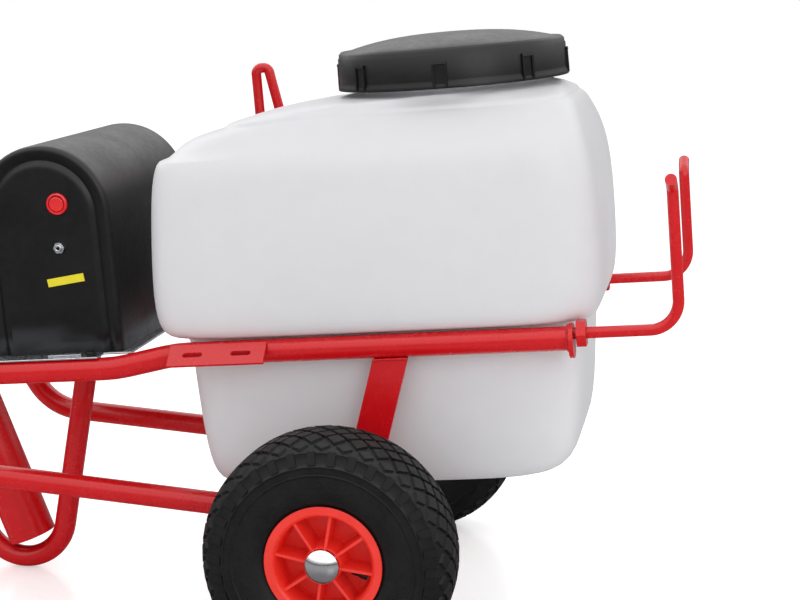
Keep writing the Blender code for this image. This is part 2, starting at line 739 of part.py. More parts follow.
def skinned(name, rings, material, parent, closed_rings=True, first_cap=True, last_cap=False):
    """A surface through rings of equal count, faces out, with an end face on the first or the last."""
    mesh = bpy.data.meshes.new(name)
    shape = bmesh.new()
    rows = [[shape.verts.new(point) for point in ring] for ring in rings]
    count = len(rows[0])
    spans = count if closed_rings else count - 1
    for below, above in zip(rows, rows[1:]):
        for k in range(spans):
            n = (k + 1) % count
            shape.faces.new((below[k], below[n], above[n], above[k]))
    if first_cap:
        shape.faces.new(rows[0][::-1])
    if last_cap:
        shape.faces.new(rows[-1])
    shape.to_mesh(mesh)
    shape.free()
    smooth(mesh)
    return add_object(name, mesh, material, parent)


def thicken(obj, wall):
    """Gives a surface its wall on the inner side."""
    solidify = obj.modifiers.new("Wall", "SOLIDIFY")
    solidify.thickness = wall
    solidify.offset = -1
    solidify.use_even_offset = True


def make_tank():
    thicken(skinned("tank", tank_rings(), MILKY_PLASTIC, DATUM), TANK_WALL)
    axis = make_datum("lid_axis", DATUM)
    axis.location = (NECK_X, 0, 0)
    inner = LID_R - LID_WALL
    bottom = LID_TOP - LID_SKIRT
    bead = LID_R + 0.0018
    lid = [
        (0, LID_TOP + LID_CROWN),
        (LID_R * 0.56, LID_TOP + LID_CROWN - 0.001),
        (LID_R * 0.68, LID_TOP + LID_CROWN * 0.74),
        (LID_R * 0.70, LID_TOP + LID_CROWN * 0.38),
        (LID_R * 0.90, LID_TOP + LID_CROWN * 0.26),
        (LID_R - 0.002, LID_TOP),
        (LID_R, LID_TOP - 0.003),
        (LID_R, bottom + 0.004),
        (bead, bottom + 0.003),
        (bead, bottom),
        (inner, bottom),
        (inner, LID_UNDERSIDE),
        (0, LID_UNDERSIDE),
    ]
    turned("tank_lid", lid, BLACK_PLASTIC, axis, steps=LID_STEPS)
    rim = NECK_R + NECK_THREAD
    base = BASKET_RIM_TOP + FIT
    gasket = [(rim, GASKET_THICKNESS), (rim, 0), (BASKET_R, 0), (BASKET_R, GASKET_THICKNESS)]
    turned("lid_gasket", gasket, GREY_PLASTIC, axis, (0, 0, base), steps=LID_STEPS, ring=True)
    floor = BASKET_RIM_TOP - BASKET_DEPTH
    basket = [
        (0, floor + BASKET_WALL),
        (BASKET_R - 0.006, floor + BASKET_WALL),
        (BASKET_R - BASKET_WALL, BASKET_RIM_TOP),
        (rim, BASKET_RIM_TOP),
        (rim, BASKET_RIM_TOP - BASKET_WALL),
        (BASKET_R, BASKET_RIM_TOP - BASKET_WALL),
        (BASKET_R - 0.004, floor),
        (0, floor),
    ]
    turned("strainer_basket", basket, BLACK_PLASTIC, axis, steps=LID_STEPS)


def make_tank_fittings():
    """The elbow that feeds the pump, and the drain plug, both under the tank's bottom."""
    top = TANK_BOTTOM - FIT
    down = 0.024
    corners = [(OUTLET_X, 0, top), (OUTLET_X, 0, top - down), (OUTLET_X - 0.040, 0, top - down)]
    tube("tank_outlet_elbow", bent_path(corners, 0.012), OUTLET_R, BLACK_PLASTIC, DATUM, resolution=2)
    profile = [
        (0, 0),
        (DRAIN_R + 0.003, 0),
        (DRAIN_R + 0.003, -0.003),
        (DRAIN_R, -0.004),
        (DRAIN_R - 0.001, -DRAIN_HEIGHT),
        (0, -DRAIN_HEIGHT),
    ]
    turned("drain_plug", profile, BLACK_PLASTIC, DATUM, (DRAIN_X, 0, top), steps=16)


def make_tray():
    """A plate across the rails, narrower in front, where the rails rise beside it."""
    tongue = RAIL_Y - TUBE_R - 0.001
    wide = TRAY_HALF_WIDTH
    half_outline = [(TRAY_FRONT, tongue), (TRAY_SHOULDER, tongue), (TRAY_SHOULDER, wide), (TRAY_REAR, wide)]
    outline = half_outline + [(x, -y) for x, y in reversed(half_outline)]
    middle = TRAY_TOP - TRAY_THICKNESS / 2
    sheet_part("pump_tray", [outline], TRAY_THICKNESS, ZINC, DATUM, (0, 0, middle))
    for side, s in SIDES:
        head = [(0, BOLT_HEAD), (BOLT_R * 0.9, BOLT_HEAD), (BOLT_R, BOLT_HEAD * 0.8), (BOLT_R, 0), (0, 0)]
        place = (BOLT_X, s * BOLT_Y, TRAY_TOP + FIT)
        turned(f"tray_bolt_{side}", head, BLACK_PLASTIC, DATUM, place, steps=6)
    clip_z = TRAY_TOP + FIT + CLIP_SIZE[2] / 2
    block("cover_clip", CLIP_SIZE, ZINC, DATUM, (CLIP_X, -TRAY_HALF_WIDTH + CLIP_SIZE[1] * 0.7, clip_z))


def cover_ring(inset, y):
    """The arch-topped section of the cover, open at the bottom, drawn from its rear foot to its front one."""
    radius = COVER_R - inset
    arch = [math.pi - math.pi * k / 12 for k in range(13)]
    feet = [(COVER_X - radius, y, COVER_BOTTOM), (COVER_X + radius, y, COVER_BOTTOM)]
    top = [(COVER_X + radius * math.cos(a), y, COVER_ARCH_Z + radius * math.sin(a)) for a in arch]
    return [feet[0], *top, feet[1]]


def make_cover():
    """A moulded shell with round-edged ends, over the battery and the pump."""
    edge = COVER_EDGE
    turn = [math.pi / 2 * k / 3 for k in range(4)]
    steps = [(edge * (1 - math.sin(a)), COVER_HALF_LENGTH - edge * (1 - math.cos(a))) for a in turn]
    rings = [cover_ring(inset, -y) for inset, y in steps] + [cover_ring(inset, y) for inset, y in reversed(steps)]
    cover = skinned("pump_cover", rings, BLACK_PLASTIC, DATUM, closed_rings=False, last_cap=True)
    thicken(cover, COVER_WALL)
    across = Matrix.Rotation(math.pi / 2, 4, "X")
    deep = 4 * COVER_WALL
    hole = Matrix.Translation((SWITCH_X, -COVER_HALF_LENGTH, SWITCH_Z)) @ across
    cut(cover, cylinder_cutter("switch_hole", SWITCH_BARREL_R + FIT, deep, hole))
    hole = Matrix.Translation((JACK_X, -COVER_HALF_LENGTH, JACK_Z)) @ across
    cut(cover, cylinder_cutter("jack_hole", JACK_R + FIT, deep, hole))
    rearward = Matrix.Rotation(math.pi / 2, 4, "Y")
    hole = Matrix.Translation((COVER_X - COVER_R, NOZZLE_Y, NOZZLE_Z)) @ rearward
    cut(cover, cylinder_cutter("nozzle_hole", NOZZLE_R + FIT, deep, hole))


def make_switch():
    """A round rocker switch: its ringed body through the cover, and the rocker that tips in it."""
    axis = make_datum("switch_axis", DATUM)
    axis.location = (SWITCH_X, -COVER_FACE, SWITCH_Z)
    flange, barrel, inner = SWITCH_R, SWITCH_BARREL_R, ROCKER_R + 0.0008
    floor, back, rim = -0.0065, -0.020, 0.0028
    body = [
        (0, floor),
        (inner, floor),
        (inner, rim),
        (flange - 0.0008, rim),
        (flange, rim - 0.001),
        (flange, 0),
        (barrel, 0),
        (barrel, back),
        (0, back),
    ]
    turned("switch_body", body, BLACK_PLASTIC, axis, rotation=outward(-1), steps=16)
    rocker = [(0, 0.0032), (ROCKER_R * 0.7, 0.0036), (ROCKER_R, 0.0030), (ROCKER_R, -0.0026), (0, -0.0026)]
    turn = (math.pi / 2 - ROCKER_TIP, 0, 0)
    turned("switch_rocker", rocker, RED_PLASTIC, axis, rotation=turn, steps=16)


def make_cover_fittings():
    """The charging jack with its nut, the rating label and the hose nozzle."""
    place = (JACK_X, -COVER_FACE, JACK_Z)
    bore, nut = 0.0019, 0.003
    shoulder = -COVER_WALL - 2 * FIT
    jack = [
        (0, -0.008),
        (bore, -0.008),
        (bore, 0.006),
        (JACK_R, 0.006),
        (JACK_R, shoulder),
        (JACK_NUT_R, shoulder),
        (JACK_NUT_R, -0.014),
        (0, -0.014),
    ]
    turned("charge_jack", jack, BLACK_PLASTIC, DATUM, place, outward(-1), steps=12)
    rings = [circle(JACK_NUT_R, steps=6), circle(JACK_R + FIT, steps=16)]
    nut_place = (JACK_X, -COVER_FACE - nut / 2, JACK_Z)
    sheet_part("jack_nut", rings, nut, ZINC, DATUM, nut_place, outward(-1))
    size = (LABEL_SIZE[0], LABEL_THICKNESS, LABEL_SIZE[1])
    label_place = (LABEL_X, -COVER_FACE - LABEL_THICKNESS / 2, LABEL_Z)
    block("cover_label", size, YELLOW, DATUM, label_place, rotation=(0, -LABEL_TILT, 0))
    nozzle_bore = 0.0045
    nozzle = [
        (NOZZLE_R - 0.001, 0.030),
        (NOZZLE_R, 0.024),
        (NOZZLE_R - 0.001, 0.022),
        (NOZZLE_R - 0.001, 0.007),
        (NOZZLE_R + 0.004, 0.007),
        (NOZZLE_R + 0.004, 0),
        (NOZZLE_R, 0),
        (NOZZLE_R, -0.016),
        (nozzle_bore, -0.016),
        (nozzle_bore, 0.030),
    ]
    back = (COVER_X - COVER_R - FIT, NOZZLE_Y, NOZZLE_Z)
    turned("pump_outlet_nozzle", nozzle, BRASS, DATUM, back, along((-1, 0, 0)), steps=12, ring=True)


def make_pump_unit():
    """The battery under its strap, and the motor with the pump head and the pressure switch."""
    seat = TRAY_TOP + FIT
    length, width, height = BATTERY_SIZE
    place = (BATTERY_X, BATTERY_Y, seat + height / 2)
    block("battery", BATTERY_SIZE, GREY_PLASTIC, DATUM, place, edge=0.002)
    inside, t = length / 2 + FIT, STRAP_THICKNESS
    top = height + FIT
    outline = [(-inside, 0), (-inside, top), (inside, top), (inside, 0)]
    outline += [(inside + t, 0), (inside + t, top + t), (-inside - t, top + t), (-inside - t, 0)]
    strap_place = (BATTERY_X, BATTERY_Y, seat)
    sheet_part("battery_strap", [outline], STRAP_WIDTH, BLACK_PLASTIC, DATUM, strap_place, (math.pi / 2, 0, 0))
    centre_z = seat + PUMP_SIZE[2] / 2
    block("pump_head", PUMP_SIZE, BLACK_PLASTIC, DATUM, (PUMP_X, PUMP_Y, centre_z), edge=0.004)
    face = PUMP_Y + PUMP_SIZE[1] / 2 + FIT
    motor = [(0, MOTOR_LENGTH), (MOTOR_R * 0.9, MOTOR_LENGTH), (MOTOR_R, MOTOR_LENGTH - 0.003), (MOTOR_R, 0), (0, 0)]
    turned("pump_motor", motor, ZINC, DATUM, (PUMP_X, face, centre_z), outward(1), steps=24)
    front = PUMP_Y - PUMP_SIZE[1] / 2 - FIT - PRESSURE_SWITCH_SIZE[1] / 2
    block("pressure_switch", PRESSURE_SWITCH_SIZE, BLACK_PLASTIC, DATUM, (PUMP_X, front, centre_z), edge=0.002)


def set_on_the_floor():
    """Moves the whole cart so that the middle of its footprint lies over the origin."""
    bpy.context.view_layer.update()
    graph = bpy.context.evaluated_depsgraph_get()
    along_x = []
    for obj in PARTS.objects:
        if obj.type != "EMPTY":
            shape = obj.evaluated_get(graph)
            along_x += [(shape.matrix_world @ vertex.co).x for vertex in shape.to_mesh().vertices]
            shape.to_mesh_clear()
    CART.location.x = -(min(along_x) + max(along_x)) / 2


def main():
    make_rails()
    make_rail_ends()
    make_horns()
    make_slotted_flange()
    make_hose_loop()
    make_lower_tubes()
    make_struts()
    make_stand()
    make_axle()
    for side, s in SIDES:
        make_wheel(side, s)
    make_tank()
    make_tank_fittings()
    make_tray()
    make_cover()
    make_switch()
    make_cover_fittings()
    make_pump_unit()
    set_on_the_floor()


clear_scene()
PARTS = make_collection("wheeled_sprayer_cart")
CUTTERS = make_collection("cutters", hidden=True)
CART = make_datum("cart")
DATUM = make_datum("frame_level", CART)
DATUM.location = (0, 0, WHEEL_R)
DATUM.rotation_euler = (0, -NOSE_UP, 0)
AXLE = make_datum("axle_level", CART)
AXLE.location = (0, 0, WHEEL_R)
main()
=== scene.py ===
"""The looks of the wheeled sprayer cart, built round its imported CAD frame.

Frame pieces are laid out from the axle in the frame's own level, then turned nose-up with the cart. Wheel
pieces are laid out on the wheel's own axis. All lengths are in metres.
"""

import json
import math

import bmesh
import bpy
from mathutils import Matrix, Vector


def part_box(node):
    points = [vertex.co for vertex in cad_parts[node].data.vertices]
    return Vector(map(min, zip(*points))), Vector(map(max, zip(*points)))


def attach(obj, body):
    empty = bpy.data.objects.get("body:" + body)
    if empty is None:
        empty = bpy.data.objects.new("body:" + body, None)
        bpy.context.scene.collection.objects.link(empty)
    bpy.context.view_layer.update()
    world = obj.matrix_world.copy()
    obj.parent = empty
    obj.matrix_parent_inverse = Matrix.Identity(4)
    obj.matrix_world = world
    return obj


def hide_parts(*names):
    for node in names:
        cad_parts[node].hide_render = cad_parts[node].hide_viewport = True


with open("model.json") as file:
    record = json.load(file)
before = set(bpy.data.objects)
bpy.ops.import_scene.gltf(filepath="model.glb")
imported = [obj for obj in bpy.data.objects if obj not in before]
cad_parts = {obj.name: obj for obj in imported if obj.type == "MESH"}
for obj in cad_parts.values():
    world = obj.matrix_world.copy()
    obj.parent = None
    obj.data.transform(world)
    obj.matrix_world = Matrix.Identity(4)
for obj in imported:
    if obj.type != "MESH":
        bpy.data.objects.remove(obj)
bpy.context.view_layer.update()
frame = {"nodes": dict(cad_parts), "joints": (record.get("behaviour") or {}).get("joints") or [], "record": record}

# ---------------------------------------------------------------- where the frame lies
AXLE_LOW, AXLE_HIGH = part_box("axle")
AXLE = (AXLE_LOW + AXLE_HIGH) / 2
AXIS = {joint["name"]: joint["axis"] for joint in frame["joints"]}
NOSE_UP = math.atan2(-AXIS["lid_turn"][0], AXIS["lid_turn"][2])
LEVEL = Matrix.Translation(AXLE) @ Matrix.Rotation(-NOSE_UP, 4, "Y")
FROM_WORLD = LEVEL.inverted()
SIDES = (("right", -1), ("left", 1))
SHARP = math.radians(38)
CORNER = math.radians(40)
FLAT = math.radians(1.5)
WELD_DISTANCE = 0.00002

# Frame tubes, as in the CAD model
TUBE_R = 0.0125
ROD_R = 0.006
RAIL_Y = 0.1575
RAIL_Z = 0.1925
RAIL_REAR_Z = 0.180
RAIL_FRONT = 0.2453
RAIL_BENDS = (0.16, 0.16, 0.09, 0.07)
HOOP_X = -0.1530
JOGGLE = (-0.175, -0.245)
HANDLE_START = -0.620
HANDLE_TOP = (-0.920, 0.220, 0.515)
GRIP_LENGTH = 0.125
GRIP_R = 0.0170
GRIP_END_ROOM = 0.045
GRIP_RIBS = 16
GRIP_RIB_PITCH = 0.0062
ROD_Z = 0.1975
HORN_REACH = 0.358
HORN_TOP = {"right": 0.341, "left": 0.3205}
HORN_TIP = (0.024, 0.011)
LOWER_TUBE_Y = 0.146
STAND_BEND = 0.053
HOLDER_R = 0.028
HOLDER_WALL = 0.002
HOLDER_LENGTH = 0.420
HOLDER_SEAT = 0.028
TANK_SEAT = 0.206
FIT = 0.0003

# Wheel
WHEEL_R = 0.130
TYRE_HALF = 0.0425
TREAD_PITCHES = 34
TREAD_DEPTH = 0.0032
RIM_R = 0.0605
RIM_HALF = 0.037
RIM_RIBS = 8
RIB_START = math.radians(-8.5)
HUB_R = 0.022
AXLE_R = 0.010
CAP_R = 0.0180
CAP_HEIGHT = 0.0125
VALVE_SEAT = 0.0454
BEAD_R = 0.0524
BEAD_Z = 0.0325
CROWN_HALF = 0.0395
CROWN_FALL = 0.0112
TREAD_ROW = 0.0112
DIAMOND = (0.0096, 0.0090)
EDGE_DIAMOND = (0.0090, 0.0042)

# Tank
TANK_POINTS = 80
TANK_REAR = -0.2062
TANK_FRONT = 0.2802
TANK_WIDE = 0.170
TANK_LOW = 0.1412
TANK_BOTTOM = 0.034
TANK_WALL = 0.0038
CREASE_Z = 0.393
DECK_BREAK, DECK_FALL = -0.02, 0.075
NECK_R = 0.105
PLUG_X, PLUG_R, PLUG_HEIGHT = 0.120, 0.017, 0.014
PLUG_FLUTES = 16

# Lid
LID_AXIS_X = 0.1204
LID_R = 0.1245
LID_TOP = 0.4922
LID_SKIRT = 0.0396
DOME_RISE = 0.0132
LID_LUGS = 8
LUG_START = math.radians(3.0)

# Pump cover
COVER_X = -0.3172
COVER_R = 0.076
COVER_ARCH_Z = 0.3475
COVER_HALF = 0.140
COVER_BOTTOM = 0.1951
COVER_WALL = 0.003
SWITCH_X, SWITCH_Z, SWITCH_R = -0.2977, 0.3597, 0.0119
ROCKER_REST = math.radians(8)
JACK_X, JACK_Z = -0.3005, 0.3119
NOZZLE_Y, NOZZLE_Z, NOZZLE_R = 0.060, 0.240, 0.0085

# Studio
WHITE = (1.0, 1.0, 1.0, 1.0)
BLACK = (0.0, 0.0, 0.0, 1.0)
DIM_FLOOR = (0.14, 0.14, 0.145, 1.0)
FLOOR_GLOW = 0.42
FLOOR_REACH = 9.0
FILL = 0.86
MIRRORED_LOW = 0.12
MIRRORED_HIGH = 1.7
MIRRORED_FULL_AT = 0.5
LENS = 79.63
SENSOR_WIDTH = 36.0
CAMERA_AHEAD, CAMERA_ACROSS, CAMERA_UP = 0.3906, -1.9270, 0.7224
CAMERA_DOWN = math.radians(10.90)
CAMERA_TURN = math.radians(10.81)
AIM_HEIGHT = 0.3

# Finishes
DUST_COLOUR = (0.55, 0.53, 0.50, 1.0)
COAT_ROUGH = 0.08
SCATTER = (0.02, 0.02, 0.02)


# ---------------------------------------------------------------- shader node groups
def shader_group(name, inputs, outputs):
    """An empty group with float inputs {name: default} and outputs {name: socket type}."""
    group = bpy.data.node_groups.new(name, "ShaderNodeTree")
    for label, default in inputs.items():
        socket = group.interface.new_socket(label, in_out="INPUT", socket_type="NodeSocketFloat")
        socket.default_value = default
    for label, kind in outputs.items():
        group.interface.new_socket(label, in_out="OUTPUT", socket_type=kind)
    return group, group.nodes.new("NodeGroupInput"), group.nodes.new("NodeGroupOutput")


def node(tree, kind, values=None, **settings):
    """A node with its settings, and its input sockets set or linked by name."""
    made = tree.nodes.new(kind)
    for key, value in settings.items():
        setattr(made, key, value)
    for key, value in (values or {}).items():
        if isinstance(value, bpy.types.NodeSocket):
            tree.links.new(value, made.inputs[key])
        else:
            made.inputs[key].default_value = value
    return made


def build_mottle_group():
    """Slow and quick noise together, from 0 to 1: uneven colour and sheen."""
    group, given, result = shader_group("mottle", {"Scale": 20.0}, {"Value": "NodeSocketFloat"})
    place = node(group, "ShaderNodeTexCoord")
    where, size = place.outputs["Object"], given.outputs["Scale"]
    slow = node(group, "ShaderNodeTexNoise", {"Vector": where, "Scale": size, "Detail": 3.0})
    finer = node(group, "ShaderNodeMath", {0: size, 1: 6.3}, operation="MULTIPLY")
    quick = node(group, "ShaderNodeTexNoise", {"Vector": where, "Scale": finer.outputs[0], "Detail": 5.0})
    both = node(group, "ShaderNodeMath", {0: slow.outputs[0], 1: quick.outputs[0]}, operation="ADD")
    spread = node(group, "ShaderNodeMapRange", {0: both.outputs[0], 1: 0.75, 2: 1.25, 3: 0.0, 4: 1.0})
    group.links.new(spread.outputs[0], result.inputs["Value"])
    return group


def build_grain_group():
    """The height of a moulded grain: small cells with a little noise in them."""
    group, given, result = shader_group("grain", {"Scale": 900.0}, {"Height": "NodeSocketFloat"})
    place = node(group, "ShaderNodeTexCoord")
    where, size = place.outputs["Object"], given.outputs["Scale"]
    cells = node(group, "ShaderNodeTexVoronoi", {"Vector": where, "Scale": size}, feature="SMOOTH_F1")
    noise = node(group, "ShaderNodeTexNoise", {"Vector": where, "Scale": size, "Detail": 4.0})
    part = node(group, "ShaderNodeMath", {0: noise.outputs[0], 1: 0.4}, operation="MULTIPLY")
    height = node(group, "ShaderNodeMath", {0: cells.outputs[0], 1: part.outputs[0]}, operation="ADD")
    group.links.new(height.outputs[0], result.inputs["Height"])
    return group


def build_dust_group():
    """Where dust settles: on faces that look up, in soft patches."""
    group, given, result = shader_group("dust", {"Amount": 0.2, "Scale": 40.0}, {"Mask": "NodeSocketFloat"})
    place = node(group, "ShaderNodeTexCoord")
    facing = node(group, "ShaderNodeNewGeometry")
    split = node(group, "ShaderNodeSeparateXYZ", {0: facing.outputs["Normal"]})
    upward = node(group, "ShaderNodeMapRange", {0: split.outputs[2], 1: 0.1, 2: 1.0, 3: 0.0, 4: 1.0})
    where, size = place.outputs["Object"], given.outputs["Scale"]
    patches = node(group, "ShaderNodeTexNoise", {"Vector": where, "Scale": size, "Detail": 6.0})
    broken = node(group, "ShaderNodeMapRange", {0: patches.outputs[0], 1: 0.4, 2: 0.7, 3: 0.2, 4: 1.0})
    both = node(group, "ShaderNodeMath", {0: upward.outputs[0], 1: broken.outputs[0]}, operation="MULTIPLY")
    share = given.outputs["Amount"]
    mask = node(group, "ShaderNodeMath", {0: both.outputs[0], 1: share}, operation="MULTIPLY")
    group.links.new(mask.outputs[0], result.inputs["Mask"])
    return group


MOTTLE = build_mottle_group()
GRAIN = build_grain_group()
DUST = build_dust_group()


def group_node(tree, group, **values):
    """A shared group in a material's tree, with its inputs set."""
    made = tree.nodes.new("ShaderNodeGroup")
    made.node_tree = group
    for key, value in values.items():
        made.inputs[key].default_value = value
    return made


def moulded(name, light, dark, rough, metallic=0.0, mottle=20.0, grain=900.0, depth=0.0001, dust=0.1,
            coat=0.0, specular=0.5, subsurface=0.0):
    """A finish that wanders between two colours and two roughnesses, over a fine relief, under thin dust."""
    surface = bpy.data.materials.new(name)
    surface.use_nodes = True
    tree = surface.node_tree
    shader = tree.nodes["Principled BSDF"]
    uneven = group_node(tree, MOTTLE, Scale=mottle)
    settled = group_node(tree, DUST, Amount=dust)
    relief = group_node(tree, GRAIN, Scale=grain)
    ends = {6: (*dark, 1.0), 7: (*light, 1.0)}
    colour = node(tree, "ShaderNodeMix", {0: uneven.outputs[0], **ends}, data_type="RGBA")
    layers = {6: colour.outputs[2], 7: DUST_COLOUR}
    dusty = node(tree, "ShaderNodeMix", {0: settled.outputs[0], **layers}, data_type="RGBA")
    tree.links.new(dusty.outputs[2], shader.inputs["Base Color"])
    sheen = node(tree, "ShaderNodeMapRange", {0: uneven.outputs[0], 3: rough[0], 4: rough[1]})
    tree.links.new(sheen.outputs[0], shader.inputs["Roughness"])
    bump = node(tree, "ShaderNodeBump", {"Height": relief.outputs[0], "Distance": depth, "Strength": 1.0})
    tree.links.new(bump.outputs[0], shader.inputs["Normal"])
    shader.inputs["Metallic"].default_value = metallic
    shader.inputs["Specular IOR Level"].default_value = specular
    shader.inputs["Coat Weight"].default_value = coat
    shader.inputs["Coat Roughness"].default_value = COAT_ROUGH
    if subsurface:
        shader.inputs["Subsurface Weight"].default_value = subsurface
        shader.inputs["Subsurface Radius"].default_value = SCATTER
    return surface


def spangled_zinc():
    """Bright zinc plating with faint crystals."""
    surface = moulded("zinc plate", (0.80, 0.82, 0.85), (0.62, 0.64, 0.68), (0.22, 0.42),
                      metallic=1.0, mottle=60.0, depth=0.00002)
    tree = surface.node_tree
    shader = tree.nodes["Principled BSDF"]
    place = node(tree, "ShaderNodeTexCoord")
    crystals = node(tree, "ShaderNodeTexVoronoi", {"Vector": place.outputs["Object"], "Scale": 220.0})
    tone = node(tree, "ShaderNodeMapRange", {0: crystals.outputs["Distance"], 3: 0.20, 4: 0.48})
    tree.links.new(tone.outputs[0], shader.inputs["Roughness"])
    return surface


def finishes():
    """Every finish, by the record's slot that it stands for."""
    return {
        "red_paint": moulded(
            "red powder coat", (0.66, 0.006, 0.010), (0.62, 0.005, 0.009), (0.22, 0.30),
            mottle=18.0, grain=420.0, depth=0.000012, dust=0.0, coat=0.2, specular=0.35),
        "tyre_rubber": moulded(
            "tyre rubber", (0.0085, 0.009, 0.010), (0.005, 0.005, 0.0055), (0.50, 0.72),
            mottle=45.0, grain=1100.0, depth=0.00007, dust=0.02, specular=0.32),
        "rim_plastic": moulded(
            "orange-red rim plastic", (0.95, 0.040, 0.026), (0.90, 0.034, 0.021), (0.30, 0.42),
            mottle=30.0, grain=700.0, depth=0.00006, dust=0.02),
        "milky_tank": moulded(
            "milky tank plastic", (0.745, 0.745, 0.768), (0.728, 0.728, 0.750), (0.36, 0.44),
            mottle=7.0, grain=260.0, depth=0.00005, dust=0.0, subsurface=0.25, specular=0.32),
        "black_plastic": moulded(
            "grained black plastic", (0.0070, 0.0072, 0.0082), (0.0045, 0.0045, 0.0052), (0.34, 0.44),
            mottle=24.0, grain=1500.0, depth=0.00004, dust=0.01, specular=0.36),
        "switch_red": moulded(
            "red switch plastic", (0.84, 0.018, 0.022), (0.74, 0.012, 0.016), (0.18, 0.28),
            mottle=60.0, grain=1500.0, depth=0.00003, dust=0.0, coat=0.4),
        "grip_rubber": moulded(
            "grip rubber", (0.024, 0.024, 0.025), (0.014, 0.014, 0.015), (0.62, 0.80),
            mottle=50.0, grain=1300.0, depth=0.00020, dust=0.06),
        "soft_rubber": moulded(
            "seal rubber", (0.060, 0.060, 0.064), (0.040, 0.040, 0.044), (0.55, 0.70), mottle=40.0),
        "battery_case": moulded(
            "battery case plastic", (0.12, 0.12, 0.13), (0.08, 0.08, 0.09), (0.42, 0.56), mottle=30.0),
        "zinc_steel": spangled_zinc(),
        "chrome_cap": moulded(
            "polished chrome", (0.90, 0.90, 0.91), (0.80, 0.80, 0.82), (0.05, 0.14),
            metallic=1.0, mottle=55.0, grain=500.0, depth=0.00002, dust=0.0),
        "brass": moulded(
            "dulled brass", (0.74, 0.56, 0.28), (0.60, 0.43, 0.20), (0.24, 0.42), metallic=1.0, mottle=90.0),
        "yellow_label": moulded(
            "yellow label film", (0.86, 0.74, 0.02), (0.78, 0.66, 0.015), (0.35, 0.45),
            mottle=70.0, depth=0.00002, dust=0.0),
    }


FINISH = finishes()


# ---------------------------------------------------------------- geometry node trees
def geometry_tree(name, inputs):
    """A tree with a geometry in and out, and more inputs {name: socket type}."""
    tree = bpy.data.node_groups.new(name, "GeometryNodeTree")
    tree.interface.new_socket("Geometry", in_out="INPUT", socket_type="NodeSocketGeometry")
    for label, kind in inputs.items():
        tree.interface.new_socket(label, in_out="INPUT", socket_type=kind)
    tree.interface.new_socket("Material", in_out="INPUT", socket_type="NodeSocketMaterial")
    tree.interface.new_socket("Geometry", in_out="OUTPUT", socket_type="NodeSocketGeometry")
    return tree, tree.nodes.new("NodeGroupInput"), tree.nodes.new("NodeGroupOutput")


def close_tree(tree, given, result, shape):
    """Every tree ends by making its instances real and giving them their material."""
    real = node(tree, "GeometryNodeRealizeInstances", {"Geometry": shape})
    painted = node(tree, "GeometryNodeSetMaterial",
                   {"Geometry": real.outputs[0], "Material": given.outputs["Material"]})
    tree.links.new(painted.outputs[0], result.inputs[0])
    return tree


def build_tube_tree():
    """A round tube along the polyline that it is given."""
    sockets = {"Radius": "NodeSocketFloat", "Facets": "NodeSocketInt"}
    tree, given, result = geometry_tree("tube along a path", sockets)
    path = node(tree, "GeometryNodeMeshToCurve", {"Mesh": given.outputs["Geometry"]})
    section = node(tree, "GeometryNodeCurvePrimitiveCircle",
                   {"Resolution": given.outputs["Facets"], "Radius": given.outputs["Radius"]})
    skin = node(tree, "GeometryNodeCurveToMesh",
                {"Curve": path.outputs[0], "Profile Curve": section.outputs[0], "Fill Caps": True})
    return close_tree(tree, given, result, skin.outputs[0])


def build_round_tree():
    """Copies of a block, evenly turned about Z."""
    sockets = {"Count": "NodeSocketInt", "Start": "NodeSocketFloat"}
    tree, given, result = geometry_tree("copies round an axis", sockets)
    points = node(tree, "GeometryNodePoints", {"Count": given.outputs["Count"]})
    index = node(tree, "GeometryNodeInputIndex")
    share = node(tree, "ShaderNodeMath", {0: index.outputs[0], 1: given.outputs["Count"]}, operation="DIVIDE")
    turn = node(tree, "ShaderNodeMath", {0: share.outputs[0], 1: math.tau, 2: given.outputs["Start"]},
                operation="MULTIPLY_ADD")
    rotation = node(tree, "ShaderNodeCombineXYZ", {"Z": turn.outputs[0]})
    block = given.outputs["Geometry"]
    copies = node(tree, "GeometryNodeInstanceOnPoints",
                  {"Points": points.outputs[0], "Instance": block, "Rotation": rotation.outputs[0]})
    return close_tree(tree, given, result, copies.outputs[0])


def build_row_tree():
    """Copies of a block in a straight row along Z."""
    sockets = {"Count": "NodeSocketInt", "Pitch": "NodeSocketFloat"}
    tree, given, result = geometry_tree("copies in a row", sockets)
    points = node(tree, "GeometryNodePoints", {"Count": given.outputs["Count"]})
    index = node(tree, "GeometryNodeInputIndex")
    pitch = given.outputs["Pitch"]
    step = node(tree, "ShaderNodeMath", {0: index.outputs[0], 1: pitch}, operation="MULTIPLY")
    place = node(tree, "ShaderNodeCombineXYZ", {"Z": step.outputs[0]})
    moved = node(tree, "GeometryNodeSetPosition",
                 {"Geometry": points.outputs[0], "Position": place.outputs[0]})
    copies = node(tree, "GeometryNodeInstanceOnPoints",
                  {"Points": moved.outputs[0], "Instance": given.outputs["Geometry"]})
    return close_tree(tree, given, result, copies.outputs[0])


